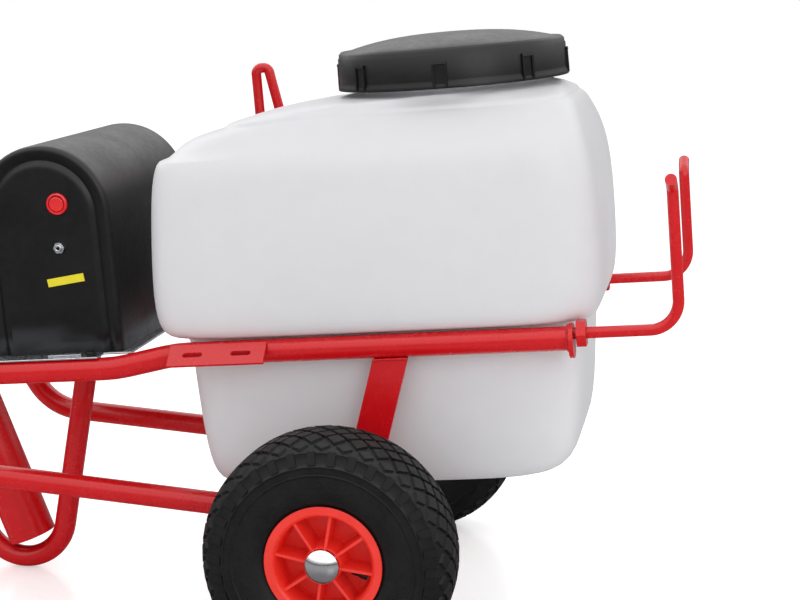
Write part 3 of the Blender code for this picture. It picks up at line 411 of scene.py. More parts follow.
def build_weld_tree():
    """A weld bead: overlapping ripples of slightly uneven size along the line that it is given."""
    sockets = {"Ripple": "NodeSocketFloat", "Pitch": "NodeSocketFloat"}
    tree, given, result = geometry_tree("weld bead", sockets)
    path = node(tree, "GeometryNodeMeshToCurve", {"Mesh": given.outputs["Geometry"]})
    dots = node(tree, "GeometryNodeResampleCurve",
                {"Curve": path.outputs[0], "Length": given.outputs["Pitch"]}, mode="LENGTH")
    ripple = node(tree, "GeometryNodeMeshIcoSphere", {"Radius": given.outputs["Ripple"], "Subdivisions": 2})
    uneven = node(tree, "FunctionNodeRandomValue", {2: 0.82, 3: 1.12, "Seed": 7}, data_type="FLOAT")
    beads = node(tree, "GeometryNodeInstanceOnPoints",
                 {"Points": dots.outputs[0], "Instance": ripple.outputs[0], "Scale": uneven.outputs[1]})
    return close_tree(tree, given, result, beads.outputs[0])


TUBE_TREE = build_tube_tree()
ROUND_TREE = build_round_tree()
ROW_TREE = build_row_tree()
WELD_TREE = build_weld_tree()


def grown(tree, source, **values):
    """The plain mesh that a tree makes from a source mesh."""
    holder = bpy.data.objects.new("source", source)
    bpy.context.scene.collection.objects.link(holder)
    modifier = holder.modifiers.new("Grow", "NODES")
    modifier.node_group = tree
    for item in tree.interface.items_tree:
        if item.in_out == "INPUT" and item.name in values:
            modifier[item.identifier] = values[item.name]
    bpy.context.view_layer.update()
    graph = bpy.context.evaluated_depsgraph_get()
    mesh = bpy.data.meshes.new_from_object(holder.evaluated_get(graph))
    bpy.data.objects.remove(holder)
    return mesh


# ---------------------------------------------------------------- meshes
def line_mesh(points, closed=False):
    """A chain of edges through points."""
    mesh = bpy.data.meshes.new("line")
    edges = [(k, k + 1) for k in range(len(points) - 1)]
    if closed:
        edges.append((len(points) - 1, 0))
    mesh.from_pydata([tuple(point) for point in points], edges, [])
    return mesh


def bent_path(corners, radii, step=math.radians(6)):
    """A polyline through corners, each rounded to an arc of its own radius."""
    corners = [Vector(corner) for corner in corners]
    path = [corners[0]]
    for before, corner, after, bend in zip(corners, corners[1:], corners[2:], radii):
        into = (corner - before).normalized()
        out = (after - corner).normalized()
        turn = into.angle(out)
        axis = into.cross(out).normalized()
        start = corner - into * bend * math.tan(turn / 2)
        centre = start + axis.cross(into) * bend
        steps = max(2, math.ceil(turn / step))
        spoke = start - centre
        path += [centre + Matrix.Rotation(turn * k / steps, 3, axis) @ spoke for k in range(steps + 1)]
    path.append(corners[-1])
    return path


def turned(profile, steps=96, closed=False):
    """A profile of (radius, height) points spun about Z."""
    shape = bmesh.new()
    rings = []
    for radius, height in profile:
        if radius == 0:
            rings.append([shape.verts.new((0, 0, height))])
            continue
        turns = [math.tau * k / steps for k in range(steps)]
        rings.append([shape.verts.new((radius * math.cos(a), radius * math.sin(a), height)) for a in turns])
    pairs = list(zip(rings, rings[1:]))
    if closed:
        pairs.append((rings[-1], rings[0]))
    for upper, lower in pairs:
        for k in range(steps):
            n = (k + 1) % steps
            corners = [ring[i % len(ring)] for ring, i in ((upper, k), (lower, k), (lower, n), (upper, n))]
            corners = [corner for i, corner in enumerate(corners) if corner not in corners[:i]]
            if len(corners) > 2:
                shape.faces.new(corners)
    bmesh.ops.recalc_face_normals(shape, faces=shape.faces)
    return as_mesh(shape)


def as_mesh(shape):
    """A bmesh written to a new mesh, and freed."""
    mesh = bpy.data.meshes.new("shape")
    shape.to_mesh(mesh)
    shape.free()
    return mesh


def block_mesh(corners_low, corners_high):
    """A block from its four lower corners to its four upper ones, both anticlockwise from above."""
    shape = bmesh.new()
    low = [shape.verts.new(point) for point in corners_low]
    high = [shape.verts.new(point) for point in corners_high]
    count = len(low)
    shape.faces.new(low[::-1])
    shape.faces.new(high)
    for k in range(count):
        n = (k + 1) % count
        shape.faces.new((low[k], low[n], high[n], high[k]))
    bmesh.ops.recalc_face_normals(shape, faces=shape.faces)
    return as_mesh(shape)


def skinned(rings, closed_rings=True, first_cap=False, last_cap=False):
    """Faces from ring to ring, with the first or the last ring filled."""
    shape = bmesh.new()
    rows = [[shape.verts.new(point) for point in ring] for ring in rings]
    count = len(rows[0])
    for below, above in zip(rows, rows[1:]):
        for k in range(count if closed_rings else count - 1):
            n = (k + 1) % count
            shape.faces.new((below[k], below[n], above[n], above[k]))
    if first_cap:
        shape.faces.new(rows[0][::-1])
    if last_cap:
        shape.faces.new(rows[-1])
    return as_mesh(shape)


def joined(meshes):
    """Meshes put together as one."""
    shape = bmesh.new()
    for mesh in meshes:
        shape.from_mesh(mesh)
    return as_mesh(shape)


def copies_round(meshes, count, start, slot):
    """A few meshes copied round Z."""
    return grown(ROUND_TREE, joined(meshes), Count=count, Start=start, Material=FINISH[slot])


def along(direction, place=(0, 0, 0)):
    """The place whose Z looks along this direction."""
    return Matrix.Translation(place) @ Vector(direction).to_track_quat("Z", "Y").to_matrix().to_4x4()


def on_wheel(side):
    """The wheel's own place: Z looks out from the cart along the axle."""
    low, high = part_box(f"tyre_{side}")
    half_track = (low.y + high.y) / 2
    out = 1 if half_track > 0 else -1
    return Matrix.Translation((AXLE.x, half_track, AXLE.z)) @ Matrix.Rotation(-out * math.pi / 2, 4, "X")


def piece(name, mesh, slot, body="cart", replaced=(), place=LEVEL):
    """Puts a finished mesh in the cart, on a body, in place of the CAD nodes it stands for."""
    mesh.transform(place)
    mesh.materials.clear()
    mesh.materials.append(FINISH[slot])
    mesh.shade_smooth()
    mesh.set_sharp_from_angle(angle=SHARP)
    mesh.name = name
    made = bpy.data.objects.new(name, mesh)
    bpy.context.scene.collection.objects.link(made)
    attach(made, body)
    if replaced:
        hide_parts(*replaced)
    return made


def tube(name, path, radius, replaced, facets=32):
    """A painted frame tube or rod along a path, in place of one CAD node."""
    values = {"Radius": radius, "Facets": facets, "Material": FINISH["red_paint"]}
    piece(name, grown(TUBE_TREE, line_mesh(path), **values), "red_paint", replaced=(replaced,))


def softened(name, width, slot, segments=3):
    """A CAD node with its edges rounded off."""
    shape = bmesh.new()
    shape.from_mesh(frame["nodes"][name].data)
    bmesh.ops.remove_doubles(shape, verts=shape.verts, dist=WELD_DISTANCE)
    bmesh.ops.dissolve_limit(shape, angle_limit=FLAT, verts=shape.verts, edges=shape.edges)
    made = piece(f"{name}_finished", as_mesh(shape), slot, replaced=(name,), place=Matrix.Identity(4))
    bevel = made.modifiers.new("Soft edges", "BEVEL")
    bevel.width = width
    bevel.segments = segments
    bevel.limit_method = "ANGLE"
    bevel.angle_limit = CORNER
    bevel.harden_normals = True


# ---------------------------------------------------------------- frame
def make_rails():
    """The rails, each bent up into its handle."""
    for side, s in SIDES:
        top = Vector((HANDLE_TOP[0], s * HANDLE_TOP[1], HANDLE_TOP[2]))
        back = Vector((-math.cos(NOSE_UP), 0, math.sin(NOSE_UP)))
        end = top + back * (GRIP_LENGTH + GRIP_END_ROOM)
        corners = [
            (RAIL_FRONT, s * RAIL_Y, RAIL_Z),
            (JOGGLE[0], s * RAIL_Y, RAIL_Z),
            (JOGGLE[1], s * RAIL_Y, RAIL_REAR_Z),
            (HANDLE_START, s * RAIL_Y, RAIL_REAR_Z),
            top,
            end,
        ]
        tube(f"rail_tube_{side}", bent_path(corners, RAIL_BENDS), TUBE_R, f"rail_{side}")
        make_grip(side, end, back)


def make_grip(side, end, direction):
    """A closed rubber sleeve with finger ribs and a collar."""
    r, length, tip, collar = GRIP_R, GRIP_LENGTH, 0.006, GRIP_R + 0.004
    sleeve = [
        (0, tip), (r * 0.72, tip), (r * 0.9, tip * 0.8), (r * 0.985, tip * 0.4), (r, -0.002),
        (r, 0.012 - length), (r + 0.001, 0.009 - length), (collar - 0.0008, 0.0055 - length),
        (collar, 0.004 - length), (collar, 0.001 - length), (collar - 0.001, -length),
        (TUBE_R + FIT, -length), (TUBE_R + FIT, FIT), (0, FIT),
    ]
    rib = [(r - 0.001, 0.0016), (r + 0.0009, 0.0009), (r + 0.0009, -0.0009), (r - 0.001, -0.0016)]
    values = {"Count": GRIP_RIBS, "Pitch": GRIP_RIB_PITCH, "Material": FINISH["grip_rubber"]}
    ribs = grown(ROW_TREE, turned(rib, 48, closed=True), **values)
    ribs.transform(Matrix.Translation((0, 0, 0.020 - length)))
    mesh = joined([turned(sleeve, 48), ribs])
    place = LEVEL @ along(direction, end)
    piece(f"handle_grip_{side}", mesh, "grip_rubber", replaced=(f"grip_{side}",), place=place)


def make_horns():
    """The hose horns, their rounded rod ends turned out from the cart."""
    for side, s in SIDES:
        top = HORN_TOP[side]
        corners = [
            (RAIL_FRONT + FIT, s * RAIL_Y, ROD_Z),
            (HORN_REACH, s * RAIL_Y, ROD_Z),
            (HORN_REACH, s * RAIL_Y, top),
            (HORN_REACH, s * (RAIL_Y + HORN_TIP[0]), top + HORN_TIP[1]),
        ]
        tube(f"horn_rod_{side}", bent_path(corners, (0.030, 0.010)), ROD_R, f"hose_horn_{side}", 24)
        softened(f"horn_collar_{side}", 0.0012, "red_paint")
        softened(f"rail_end_plate_{side}", 0.0009, "red_paint")
    softened("slotted_flange_right", 0.0007, "red_paint")


def make_hose_loop():
    """The narrow hoop of rod beside the tank."""
    x, top, throat, splay = HOOP_X, 0.4755, 0.0155, 0.185
    foot_y = RAIL_Y + TUBE_R + ROD_R + FIT
    loop_y = 0.182
    feet, knee, elbow = RAIL_Z - 0.010, TANK_SEAT + 0.004, TANK_SEAT + 0.034
    left = [(x, foot_y, feet), (x, foot_y, knee), (x, loop_y, elbow), (x, loop_y, top)]
    right = [(x + throat + splay * (top - z), y, z) for _, y, z in reversed(left)]
    corner = throat * 0.46
    path = bent_path(left + right, (0.03, 0.03, corner, corner, 0.03, 0.03))
    tube("hoop_rod_left", path, ROD_R, "hose_loop_left", 24)


def make_lower_tubes():
    """The lower tubes, from the axle back and up to the rails, and the flat struts over the axle."""
    slope, climb, corner_x = 0.151, math.radians(62), -0.4525
    end_z = RAIL_REAR_Z - TUBE_R - FIT - TUBE_R * math.cos(climb)
    corner_z = -corner_x * slope
    end_x = corner_x - (end_z - corner_z) / math.tan(climb)
    start_x = -(AXLE_R + 0.0006 + TUBE_R * slope)
    for side, s in SIDES:
        y = s * LOWER_TUBE_Y
        corners = [(start_x, y, -start_x * slope), (corner_x, y, corner_z), (end_x, y, end_z)]
        tube(f"lower_rail_{side}", bent_path(corners, (0.070,)), TUBE_R, f"lower_tube_{side}")
        softened(f"axle_strut_{side}", 0.0008, "red_paint")


def stand_layout():
    """The stand's bend and where its two branches head, in the frame's level."""
    stand_x, front_lean, rear_lean = -0.4390, math.radians(10.0), math.radians(21.3)
    centre = FROM_WORLD @ Vector((AXLE.x + stand_x, 0, STAND_BEND + TUBE_R))
    leans = {"front": front_lean + NOSE_UP, "rear": NOSE_UP - rear_lean}
    heading = {end: Vector((math.sin(lean), 0, math.cos(lean))) for end, lean in leans.items()}
    return centre, leans, heading


def make_stand():
    """The parking stand's bent tube, the two cross tubes and the lance holder."""
    centre, leans, heading = stand_layout()
    start, stop = -leans["front"], -math.pi - leans["rear"]
    steps = 28
    angles = [start + (stop - start) * k / steps for k in range(steps + 1)]
    bend = [centre + Vector((math.cos(a), 0, math.sin(a))) * STAND_BEND for a in angles]
    ends = {}
    for end, foot in (("front", bend[0]), ("rear", bend[-1])):
        reach = (RAIL_REAR_Z - foot.z) / heading[end].z
        ends[end] = foot + heading[end] * (reach - TUBE_R - FIT - TUBE_R * abs(heading[end].x))
        cross_x = foot.x + heading[end].x * reach
        half = RAIL_Y - TUBE_R - FIT
        path = [Vector((cross_x, y, RAIL_REAR_Z)) for y in (-half, 0, half)]
        tube(f"cross_bar_{end}", path, TUBE_R, f"cross_tube_{end}")
        for s in (-1, 1):
            weld_ring(Vector((cross_x, s * (half - 0.0006), RAIL_REAR_Z)), Vector((0, 1, 0)), TUBE_R)
        weld_ring(ends[end] - heading[end] * 0.0008, heading[end], TUBE_R)
    tube("stand_tube", [ends["front"], *bend, ends["rear"]], TUBE_R, "parking_stand")
    make_lance_holder(centre - heading["rear"] * HOLDER_SEAT, heading["rear"])


def make_lance_holder(foot, direction):
    """The wide open tube that leans in the stand, and its two tabs."""
    inner = HOLDER_R - HOLDER_WALL
    lip = 0.0006
    section = [
        (HOLDER_R - lip, HOLDER_LENGTH), (HOLDER_R, HOLDER_LENGTH - lip), (HOLDER_R, lip),
        (HOLDER_R - lip, 0), (inner + lip, 0), (inner, lip), (inner, HOLDER_LENGTH - lip),
        (inner + lip, HOLDER_LENGTH),
    ]
    mesh = turned(section, 64, closed=True)
    piece("lance_tube", mesh, "red_paint", replaced=("lance_holder",), place=LEVEL @ along(direction, foot))
    for level in ("lower", "upper"):
        softened(f"lance_tab_{level}", 0.0006, "red_paint")


WELD_LINES = []


def weld_ring(centre, direction, radius):
    """Notes a bead round a tube's end."""
    place = along(direction, centre)
    turns = [math.tau * k / 24 for k in range(24)]
    reach = radius + 0.0003
    WELD_LINES.append([place @ Vector((reach * math.cos(a), reach * math.sin(a), 0)) for a in turns])


def make_welds():
    """Beads where the frame's pieces meet."""
    strut_y, strut_face, lean, half = 0.1613, 0.0030, 0.325, 0.017
    top = RAIL_Z - TUBE_R - 0.0008
    for _, s in SIDES:
        for face in (-1, 1):
            y = s * strut_y + face * strut_face
            WELD_LINES.append([Vector((lean * top - half, y, top)), Vector((lean * top + half, y, top))])
        weld_ring(Vector((RAIL_FRONT - 0.0006, s * RAIL_Y, RAIL_Z)), Vector((1, 0, 0)), TUBE_R)
        foot_y, foot_z = s * (RAIL_Y + TUBE_R + 0.0004), RAIL_Z - 0.010 + 0.002
        WELD_LINES.append([Vector((x, foot_y, foot_z)) for x in (-0.1585, -0.1475)])
    flange_y, flange_z = -RAIL_Y - 0.0086, RAIL_Z + 0.0105 - 0.0022
    for ends in ((-0.170, -0.148), (-0.100, -0.080)):
        WELD_LINES.append([Vector((x, flange_y, flange_z)) for x in ends])
    values = {"Ripple": 0.0016, "Pitch": 0.0017, "Material": FINISH["red_paint"]}
    beads = [grown(WELD_TREE, line_mesh(line, closed=len(line) > 2), **values) for line in WELD_LINES]
    piece("weld_beads", joined(beads), "red_paint")


# ---------------------------------------------------------------- wheels
def tread_radius(z):
    """The tread's crown falls away towards the shoulders."""
    return WHEEL_R - CROWN_FALL * (abs(z) / CROWN_HALF) ** 4.2


def tyre_outline():
    """The carcass: from the bead over the sidewall's two steps to the shoulder, and back by symmetry."""
    w = TYRE_HALF
    side = [
        (BEAD_R, BEAD_Z), (0.0605, 0.0330), (0.0625, 0.0348), (0.0650, 0.0372), (0.0700, 0.0392),
        (0.0780, 0.0408), (0.0880, 0.0412), (0.0922, 0.0412), (0.0930, 0.0419), (0.0944, 0.0421),
        (0.0950, 0.0414), (0.1012, 0.0415), (0.1018, w - 0.0001), (0.1032, w), (0.1042, 0.0412),
        (0.1060, 0.0402), (0.1110, 0.0392), (0.1145, 0.0382),
    ]
    crown = [(tread_radius(z) - TREAD_DEPTH, z) for z in [0.0385 - 0.0035 * k for k in range(12)]]
    half = side + crown
    return half + [(r, -z) for r, z in reversed(half)]


def tread_block(z, half_along, half_across, turn):
    """One diamond of the tread, its flanks drawn in towards its top."""
    draft = 0.0006
    low, high = [], []
    for u, v in ((1, 0), (0, 1), (-1, 0), (0, -1)):
        across = z + v * half_across
        angle = turn + u * half_along / WHEEL_R
        base = tread_radius(across) - TREAD_DEPTH - 0.0008
        low.append((base * math.cos(angle), base * math.sin(angle), across))
        across = z + v * (half_across - draft)
        angle = turn + u * (half_along - draft) / WHEEL_R
        top = tread_radius(across) - 0.0001
        high.append((top * math.cos(angle), top * math.sin(angle), across))
    return block_mesh(low, high)


def shoulder_bar(s, turn):
    """A bar on the shoulder, from the tread's edge down the sidewall."""
    half, draft, proud = 0.0046, 0.0005, 0.0012
    low, high = [], []
    ends = ((0.1182, 0.0374, 0.0030, (-1, 1)), (0.1050, 0.0408, 0.0016, (1, -1)))
    for radius, across, sink, edges in ends:
        for edge in edges:
            angle = turn + edge * half / radius
            low.append((radius * math.cos(angle), radius * math.sin(angle), s * (across - sink)))
            angle = turn + edge * (half - draft) / radius
            high.append((radius * math.cos(angle), radius * math.sin(angle), s * (across + proud)))
    return block_mesh(low, high)


def make_tyre(side, place):
    """The hollow tyre with its rows of diamonds, each row half a pitch on from the last."""
    inside = [(BEAD_R, -0.024), (0.066, -0.0275), (0.085, -0.0355), (0.105, -0.0350), (0.119, -0.0200)]
    section = tyre_outline() + inside + [(r, -z) for r, z in reversed(inside)]
    carcass = turned(section, 136, closed=True)
    half_pitch = math.pi / TREAD_PITCHES
    cell = [tread_block(0, *DIAMOND, 0)]
    for s in (-1, 1):
        cell += [
            tread_block(s * TREAD_ROW, *DIAMOND, half_pitch),
            tread_block(s * 2 * TREAD_ROW, *DIAMOND, 0),
            tread_block(s * 3 * TREAD_ROW, *EDGE_DIAMOND, half_pitch),
            shoulder_bar(s, 0),
        ]
    tread = copies_round(cell, TREAD_PITCHES, 0.0, "tyre_rubber")
    mesh = joined([carcass, tread])
    piece(f"tyre_with_tread_{side}", mesh, "tyre_rubber", f"wheel_{side}", (f"tyre_{side}",), place)


def make_rim(side, place):
    """A dished plastic rim: a flat outer ring, a thin web, and ribs from the hub to the barrel."""
    half, barrel, web, web_top, bore, start = RIM_HALF, 0.0485, 0.0, 0.005, 0.0165, 0.0175
    section = [
        (RIM_R - 0.0006, half), (RIM_R, half - 0.0006), (RIM_R, half - 0.0022), (0.0524, half - 0.0037),
        (0.0520, BEAD_Z), (0.0520, -BEAD_Z), (0.0524, 0.0037 - half), (RIM_R, 0.0022 - half),
        (RIM_R, 0.0006 - half), (RIM_R - 0.0006, -half), (barrel, 0.0015 - half), (barrel - 0.002, web),
        (HUB_R + 0.002, web), (HUB_R, web - 0.003), (HUB_R, -half), (bore, -half), (bore, half),
        (0.0182, half), (0.0186, half - 0.0004), (HUB_R - 0.001, web_top + 0.002), (HUB_R + 0.001, web_top),
        (barrel - 0.003, web_top), (barrel - 0.001, web_top + 0.002), (barrel + 0.0010, half - 0.0040),
        (barrel + 0.0030, half - 0.0012), (barrel + 0.0045, half),
    ]
    wheel = turned(section, 96, closed=True)
    end, foot, thick, thin = barrel + 0.001, web_top - 0.001, 0.0017, 0.0014
    rib_low = [(start, -thick, foot), (end, -thick, foot), (end, thick, foot), (start, thick, foot)]
    end, near, far = barrel + 0.0015, half - 0.0010, half - 0.0040
    rib_high = [(start, -thin, near), (end, -thin, far), (end, thin, far), (start, thin, near)]
    back_low = [(x, y, -half + 0.005) for x, y, _ in rib_low]
    back_high = [(x, y, web + 0.001) for x, y, _ in rib_high]
    ribs = copies_round([block_mesh(rib_low, rib_high)], RIM_RIBS, RIB_START, "rim_plastic")
    back = copies_round([block_mesh(back_low, back_high)], RIM_RIBS, RIB_START, "rim_plastic")
    mesh = joined([wheel, ribs, back])
    piece(f"ribbed_rim_{side}", mesh, "rim_plastic", f"wheel_{side}", (f"rim_{side}",), place)


def make_cap(side, place):
    """A domed push-on cap with a thin turned lip."""
    bore, socket = AXLE_R + FIT, 0.006
    rim = 0.0050
    sphere = (CAP_R**2 + (CAP_HEIGHT - rim) ** 2) / (2 * (CAP_HEIGHT - rim))
    reach = math.asin((CAP_R - 0.0004) / sphere)
    steps = 14
    turns = [reach * k / steps for k in range(steps + 1)]
    section = [(sphere * math.sin(a), CAP_HEIGHT - sphere * (1 - math.cos(a))) for a in turns]
    section += [(CAP_R, rim - 0.0004), (CAP_R, 0.0004), (CAP_R - 0.0004, 0), (bore, 0)]
    section += [(bore, socket), (0, socket)]
    lift = place @ Matrix.Translation((0, 0, RIM_HALF + FIT))
    piece(f"chrome_cap_{side}", turned(section, 64), "chrome_cap", replaced=(f"axle_cap_{side}",), place=lift)


def make_valve(side):
    """The tube's valve: a rubber stem, a threaded tip and its cap."""
    radius, tip, neck, length = 0.0035, 0.0035 * 0.86, 0.0035 * 0.7, 0.017
    section = [
        (0, length), (neck, length), (tip, length - 0.0008), (tip, length - 0.0065),
        (neck, length - 0.0070), (neck, length - 0.0085), (radius, length - 0.0095), (radius, 0), (0, 0),
    ]
    low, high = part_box(f"valve_{side}")
    middle = (low + high) / 2
    out = Vector((middle.x - AXLE.x, 0, middle.z - AXLE.z)).normalized()
    lift = along(-out, (AXLE.x + out.x * VALVE_SEAT, middle.y, AXLE.z + out.z * VALVE_SEAT))
    mesh = turned(section, 24)
    piece(f"tube_valve_{side}", mesh, "black_plastic", f"wheel_{side}", (f"valve_{side}",), lift)


def make_spacer(side, s):
    """The sleeve between the wheel and the frame, its outer edges broken."""
    low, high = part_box(f"axle_spacer_{side}")
    outer, inner, edge, length = 0.0135, 0.0103, 0.0004, high.y - low.y
    section = [
        (outer - edge, length), (outer, length - edge), (outer, edge), (outer - edge, 0), (inner, 0),
        (inner, length),
    ]
    lift = along((0, s, 0), (AXLE.x, low.y if s > 0 else high.y, AXLE.z))
    mesh = turned(section, 48, closed=True)
    piece(f"spacer_sleeve_{side}", mesh, "zinc_steel", replaced=(f"axle_spacer_{side}",), place=lift)


def make_wheels():
    """Both wheels with all that is on the axle, and the axle."""
    for side, s in SIDES:
        place = on_wheel(side)
        make_tyre(side, place)
        make_rim(side, place)
        make_cap(side, place)
        make_valve(side)
        make_spacer(side, s)
    half, edge = (AXLE_HIGH.y - AXLE_LOW.y) / 2, 0.001
    rod = [
        (0, half), (AXLE_R - edge, half), (AXLE_R, half - edge), (AXLE_R, edge - half),
        (AXLE_R - edge, -half), (0, -half),
    ]
    piece("axle_rod", turned(rod, 48), "zinc_steel", replaced=("axle",), place=along((0, 1, 0), AXLE))


# ---------------------------------------------------------------- tank and lid
def rounded_ring(rear, front, half_width, squareness, height):
    """A level ring between an ellipse and a rectangle; its height may depend on x."""
    middle, half = (front + rear) / 2, (front - rear) / 2
    ring = []
    for k in range(TANK_POINTS):
        angle = math.tau * (k + 0.5) / TANK_POINTS
        c, s = math.cos(angle), math.sin(angle)
        x = middle + half * math.copysign(abs(c) ** (2 / squareness), c)
        y = half_width * math.copysign(abs(s) ** (2 / squareness), s)
        ring.append((x, y, height(x) if callable(height) else height))
    return ring


def deck(level):
    """The deck falls away a little towards the rear."""
    return lambda x: level - DECK_FALL * max(0.0, DECK_BREAK - x)


def tank_rings():
    """The tank's rings, from the floor past the step over the rails to the deck and the neck.

    Each row says the rear and the front end, half the width, how square the corners are, and the height.
    """
    low, wide, rear, front = TANK_LOW, TANK_WIDE, TANK_REAR, TANK_FRONT
    bottom, shelf, crease = TANK_BOTTOM, TANK_SEAT, CREASE_Z
    body = [
        (rear + 0.110, front - 0.130, low - 0.070, 4, bottom),
        (rear + 0.066, front - 0.086, low - 0.030, 5, bottom),
        (rear + 0.052, front - 0.068, low - 0.016, 6, bottom + 0.0015),
        (rear + 0.043, front - 0.053, low - 0.0065, 6.5, bottom + 0.008),
        (rear + 0.038, front - 0.042, low - 0.002, 7, bottom + 0.022),
        (rear + 0.036, front - 0.036, low - 0.0005, 8, bottom + 0.045),
        (rear + 0.033, front - 0.032, low, 8, bottom + 0.080),
        (rear + 0.031, front - 0.029, low, 8, bottom + 0.120),
        (rear + 0.030, front - 0.026, low, 8, shelf - 0.022),
        (rear + 0.029, front - 0.022, low, 8, shelf - 0.008),
        (rear + 0.024, front - 0.016, low + 0.0015, 8, shelf - 0.001),
        (rear + 0.016, front - 0.012, wide - 0.014, 8, shelf + 0.0008),
        (rear + 0.010, front - 0.009, wide - 0.008, 8, shelf + 0.0028),
        (rear + 0.004, front - 0.0055, wide - 0.0025, 8, shelf + 0.010),
        (rear + 0.0005, front - 0.0025, wide - 0.0004, 8, shelf + 0.024),
        (rear, front - 0.0008, wide, 8.5, shelf + 0.045),
        (rear + 0.002, front, wide, 8.5, shelf + 0.085),
        (rear + 0.006, front - 0.0004, wide, 8.5, shelf + 0.125),
        (rear + 0.0095, front - 0.0030, wide - 0.0004, 8.5, crease - 0.030),
        (rear + 0.0120, front - 0.0058, wide - 0.0015, 8, crease - 0.014),
        (rear + 0.0145, front - 0.0085, wide - 0.0040, 8, crease - 0.004),
        (rear + 0.0180, front - 0.0110, wide - 0.0085, 8, crease + 0.005),
    ]
    rings = [rounded_ring(*row) for row in body]
    roof = [
        (rear + 0.0260, front - 0.0150, wide - 0.0200, 8, 0.4085),
        (rear + 0.0360, front - 0.0190, wide - 0.0330, 7, 0.4205),
        (rear + 0.0480, front - 0.0225, wide - 0.0410, 6.5, 0.4268),
        (rear + 0.0640, front - 0.0250, wide - 0.0445, 6, 0.4296),
        (rear + 0.0790, front - 0.0270, wide - 0.0465, 6, 0.4308),
        (rear + 0.0830, front - 0.0285, wide - 0.0478, 6, 0.4322),
        (rear + 0.0860, front - 0.0300, wide - 0.0490, 6, 0.4352),
        (rear + 0.0900, front - 0.0320, wide - 0.0510, 6, 0.4366),
        (rear + 0.1050, front - 0.0360, wide - 0.0535, 5, 0.4392),
        (rear + 0.1450, front - 0.0400, wide - 0.0555, 3.6, 0.4430),
    ]
    rings += [rounded_ring(*row[:4], deck(row[4])) for row in roof]
    neck = [
        (0.0100, 0.4462), (0.0070, 0.4474), (0.0015, 0.4490), (0.0, 0.4510), (0.0, 0.4570),
        (0.0060, 0.4620), (0.0120, 0.4660), (0.0120, 0.4700), (0.0120, 0.4820), (0.0120, 0.4830),
    ]
    for wider, level in neck:
        reach = NECK_R + wider
        rings.append(rounded_ring(LID_AXIS_X - reach, LID_AXIS_X + reach, reach, 2, level))
    return rings


def make_tank():
    """The tank with its lid, outlet and drain plug."""
    mesh = skinned(tank_rings(), first_cap=True)
    tank = piece("tank_shell", mesh, "milky_tank", replaced=("tank",))
    smooth = tank.modifiers.new("Rounded", "SUBSURF")
    smooth.levels = smooth.render_levels = 1
    thicken(tank, TANK_WALL)
    make_lid()
    softened("tank_outlet_elbow", 0.0006, "black_plastic")
    make_drain_plug()


def thicken(shell, thickness):
    """Gives an open skin its wall, on the inside."""
    wall = shell.modifiers.new("Wall", "SOLIDIFY")
    wall.thickness = thickness
    wall.offset = -1


def lid_lug(radius, bottom):
    """One hollow grip lug: two side bars and a top bar round a shallower field."""
    half, depth, bar = 0.0078, 0.0024, 0.0025
    low, high = bottom + 0.0015, bottom + 0.0285
    root = radius - 0.0012
    spans = (
        (-half, -half + bar, low, high, depth),
        (half - bar, half, low, high, depth),
        (-half, half, high - 0.0030, high, depth),
        (-half + 0.002, half - 0.002, low, high - 0.002, depth * 0.45),
    )
    bars = []
    for y0, y1, z0, z1, out in spans:
        floor = [(root, y0, z0), (radius + out, y0, z0), (radius + out, y1, z0), (root, y1, z0)]
        bars.append(block_mesh(floor, [(x - (0.0006 if x > radius else 0), y, z1) for x, y, _ in floor]))
    return bars


def make_lid():
    """A screw lid: stepped crown, tall skirt with a flared bead, and grip lugs round it."""
    r, top, bottom = LID_R, LID_TOP, LID_TOP - LID_SKIRT
    inner, ceiling = r - 0.0035, top - 0.0035
    section = [(r * 0.93 * k / 10, top + 0.0014 + DOME_RISE * (1 - (k / 10) ** 2.6)) for k in range(11)]
    section += [
        (r * 0.936, top + 0.0008), (r * 0.945, top + 0.0008), (r * 0.951, top + 0.0016),
        (r * 0.965, top + 0.0019), (r - 0.0030, top + 0.0008), (r - 0.0014, top - 0.0010),
        (r - 0.0010, top - 0.0045), (r, top - 0.0060), (r, bottom + 0.0090),
        (r + 0.0002, bottom + 0.0070), (r + 0.0014, bottom + 0.0040), (r + 0.0018, bottom + 0.0020),
        (r + 0.0018, bottom + 0.0006), (r + 0.0012, bottom), (inner, bottom), (inner, ceiling), (0, ceiling),
    ]
    lugs = copies_round(lid_lug(r, bottom), LID_LUGS, LUG_START, "black_plastic")
    place = LEVEL @ Matrix.Translation((LID_AXIS_X, 0, 0))
    piece("screw_lid", joined([turned(section, 128), lugs]), "black_plastic", "lid", ("tank_lid",), place)


def make_drain_plug():
    """The plug with grip flutes round it."""
    r, height, half, out = PLUG_R, PLUG_HEIGHT, 0.0012, 0.0008
    section = [
        (0, 0), (r + 0.003, 0), (r + 0.003, -0.0025), (r + 0.0025, -0.003), (r, -0.004),
        (r - 0.0008, -height + 0.001), (r - 0.002, -height), (0, -height),
    ]
    foot = -height + 0.001
    low = [(r - 0.001, -half, foot), (r + out, -half, foot), (r + out, half, foot), (r - 0.001, half, foot)]
    flute = block_mesh(low, [(x, y, -0.0035) for x, y, _ in low])
    flutes = copies_round([flute], PLUG_FLUTES, 0.0, "black_plastic")
    place = LEVEL @ Matrix.Translation((PLUG_X, 0, TANK_BOTTOM - FIT))
    mesh = joined([turned(section, 48), flutes])
    piece("drain_cap", mesh, "black_plastic", "drain", ("drain_plug",), place)


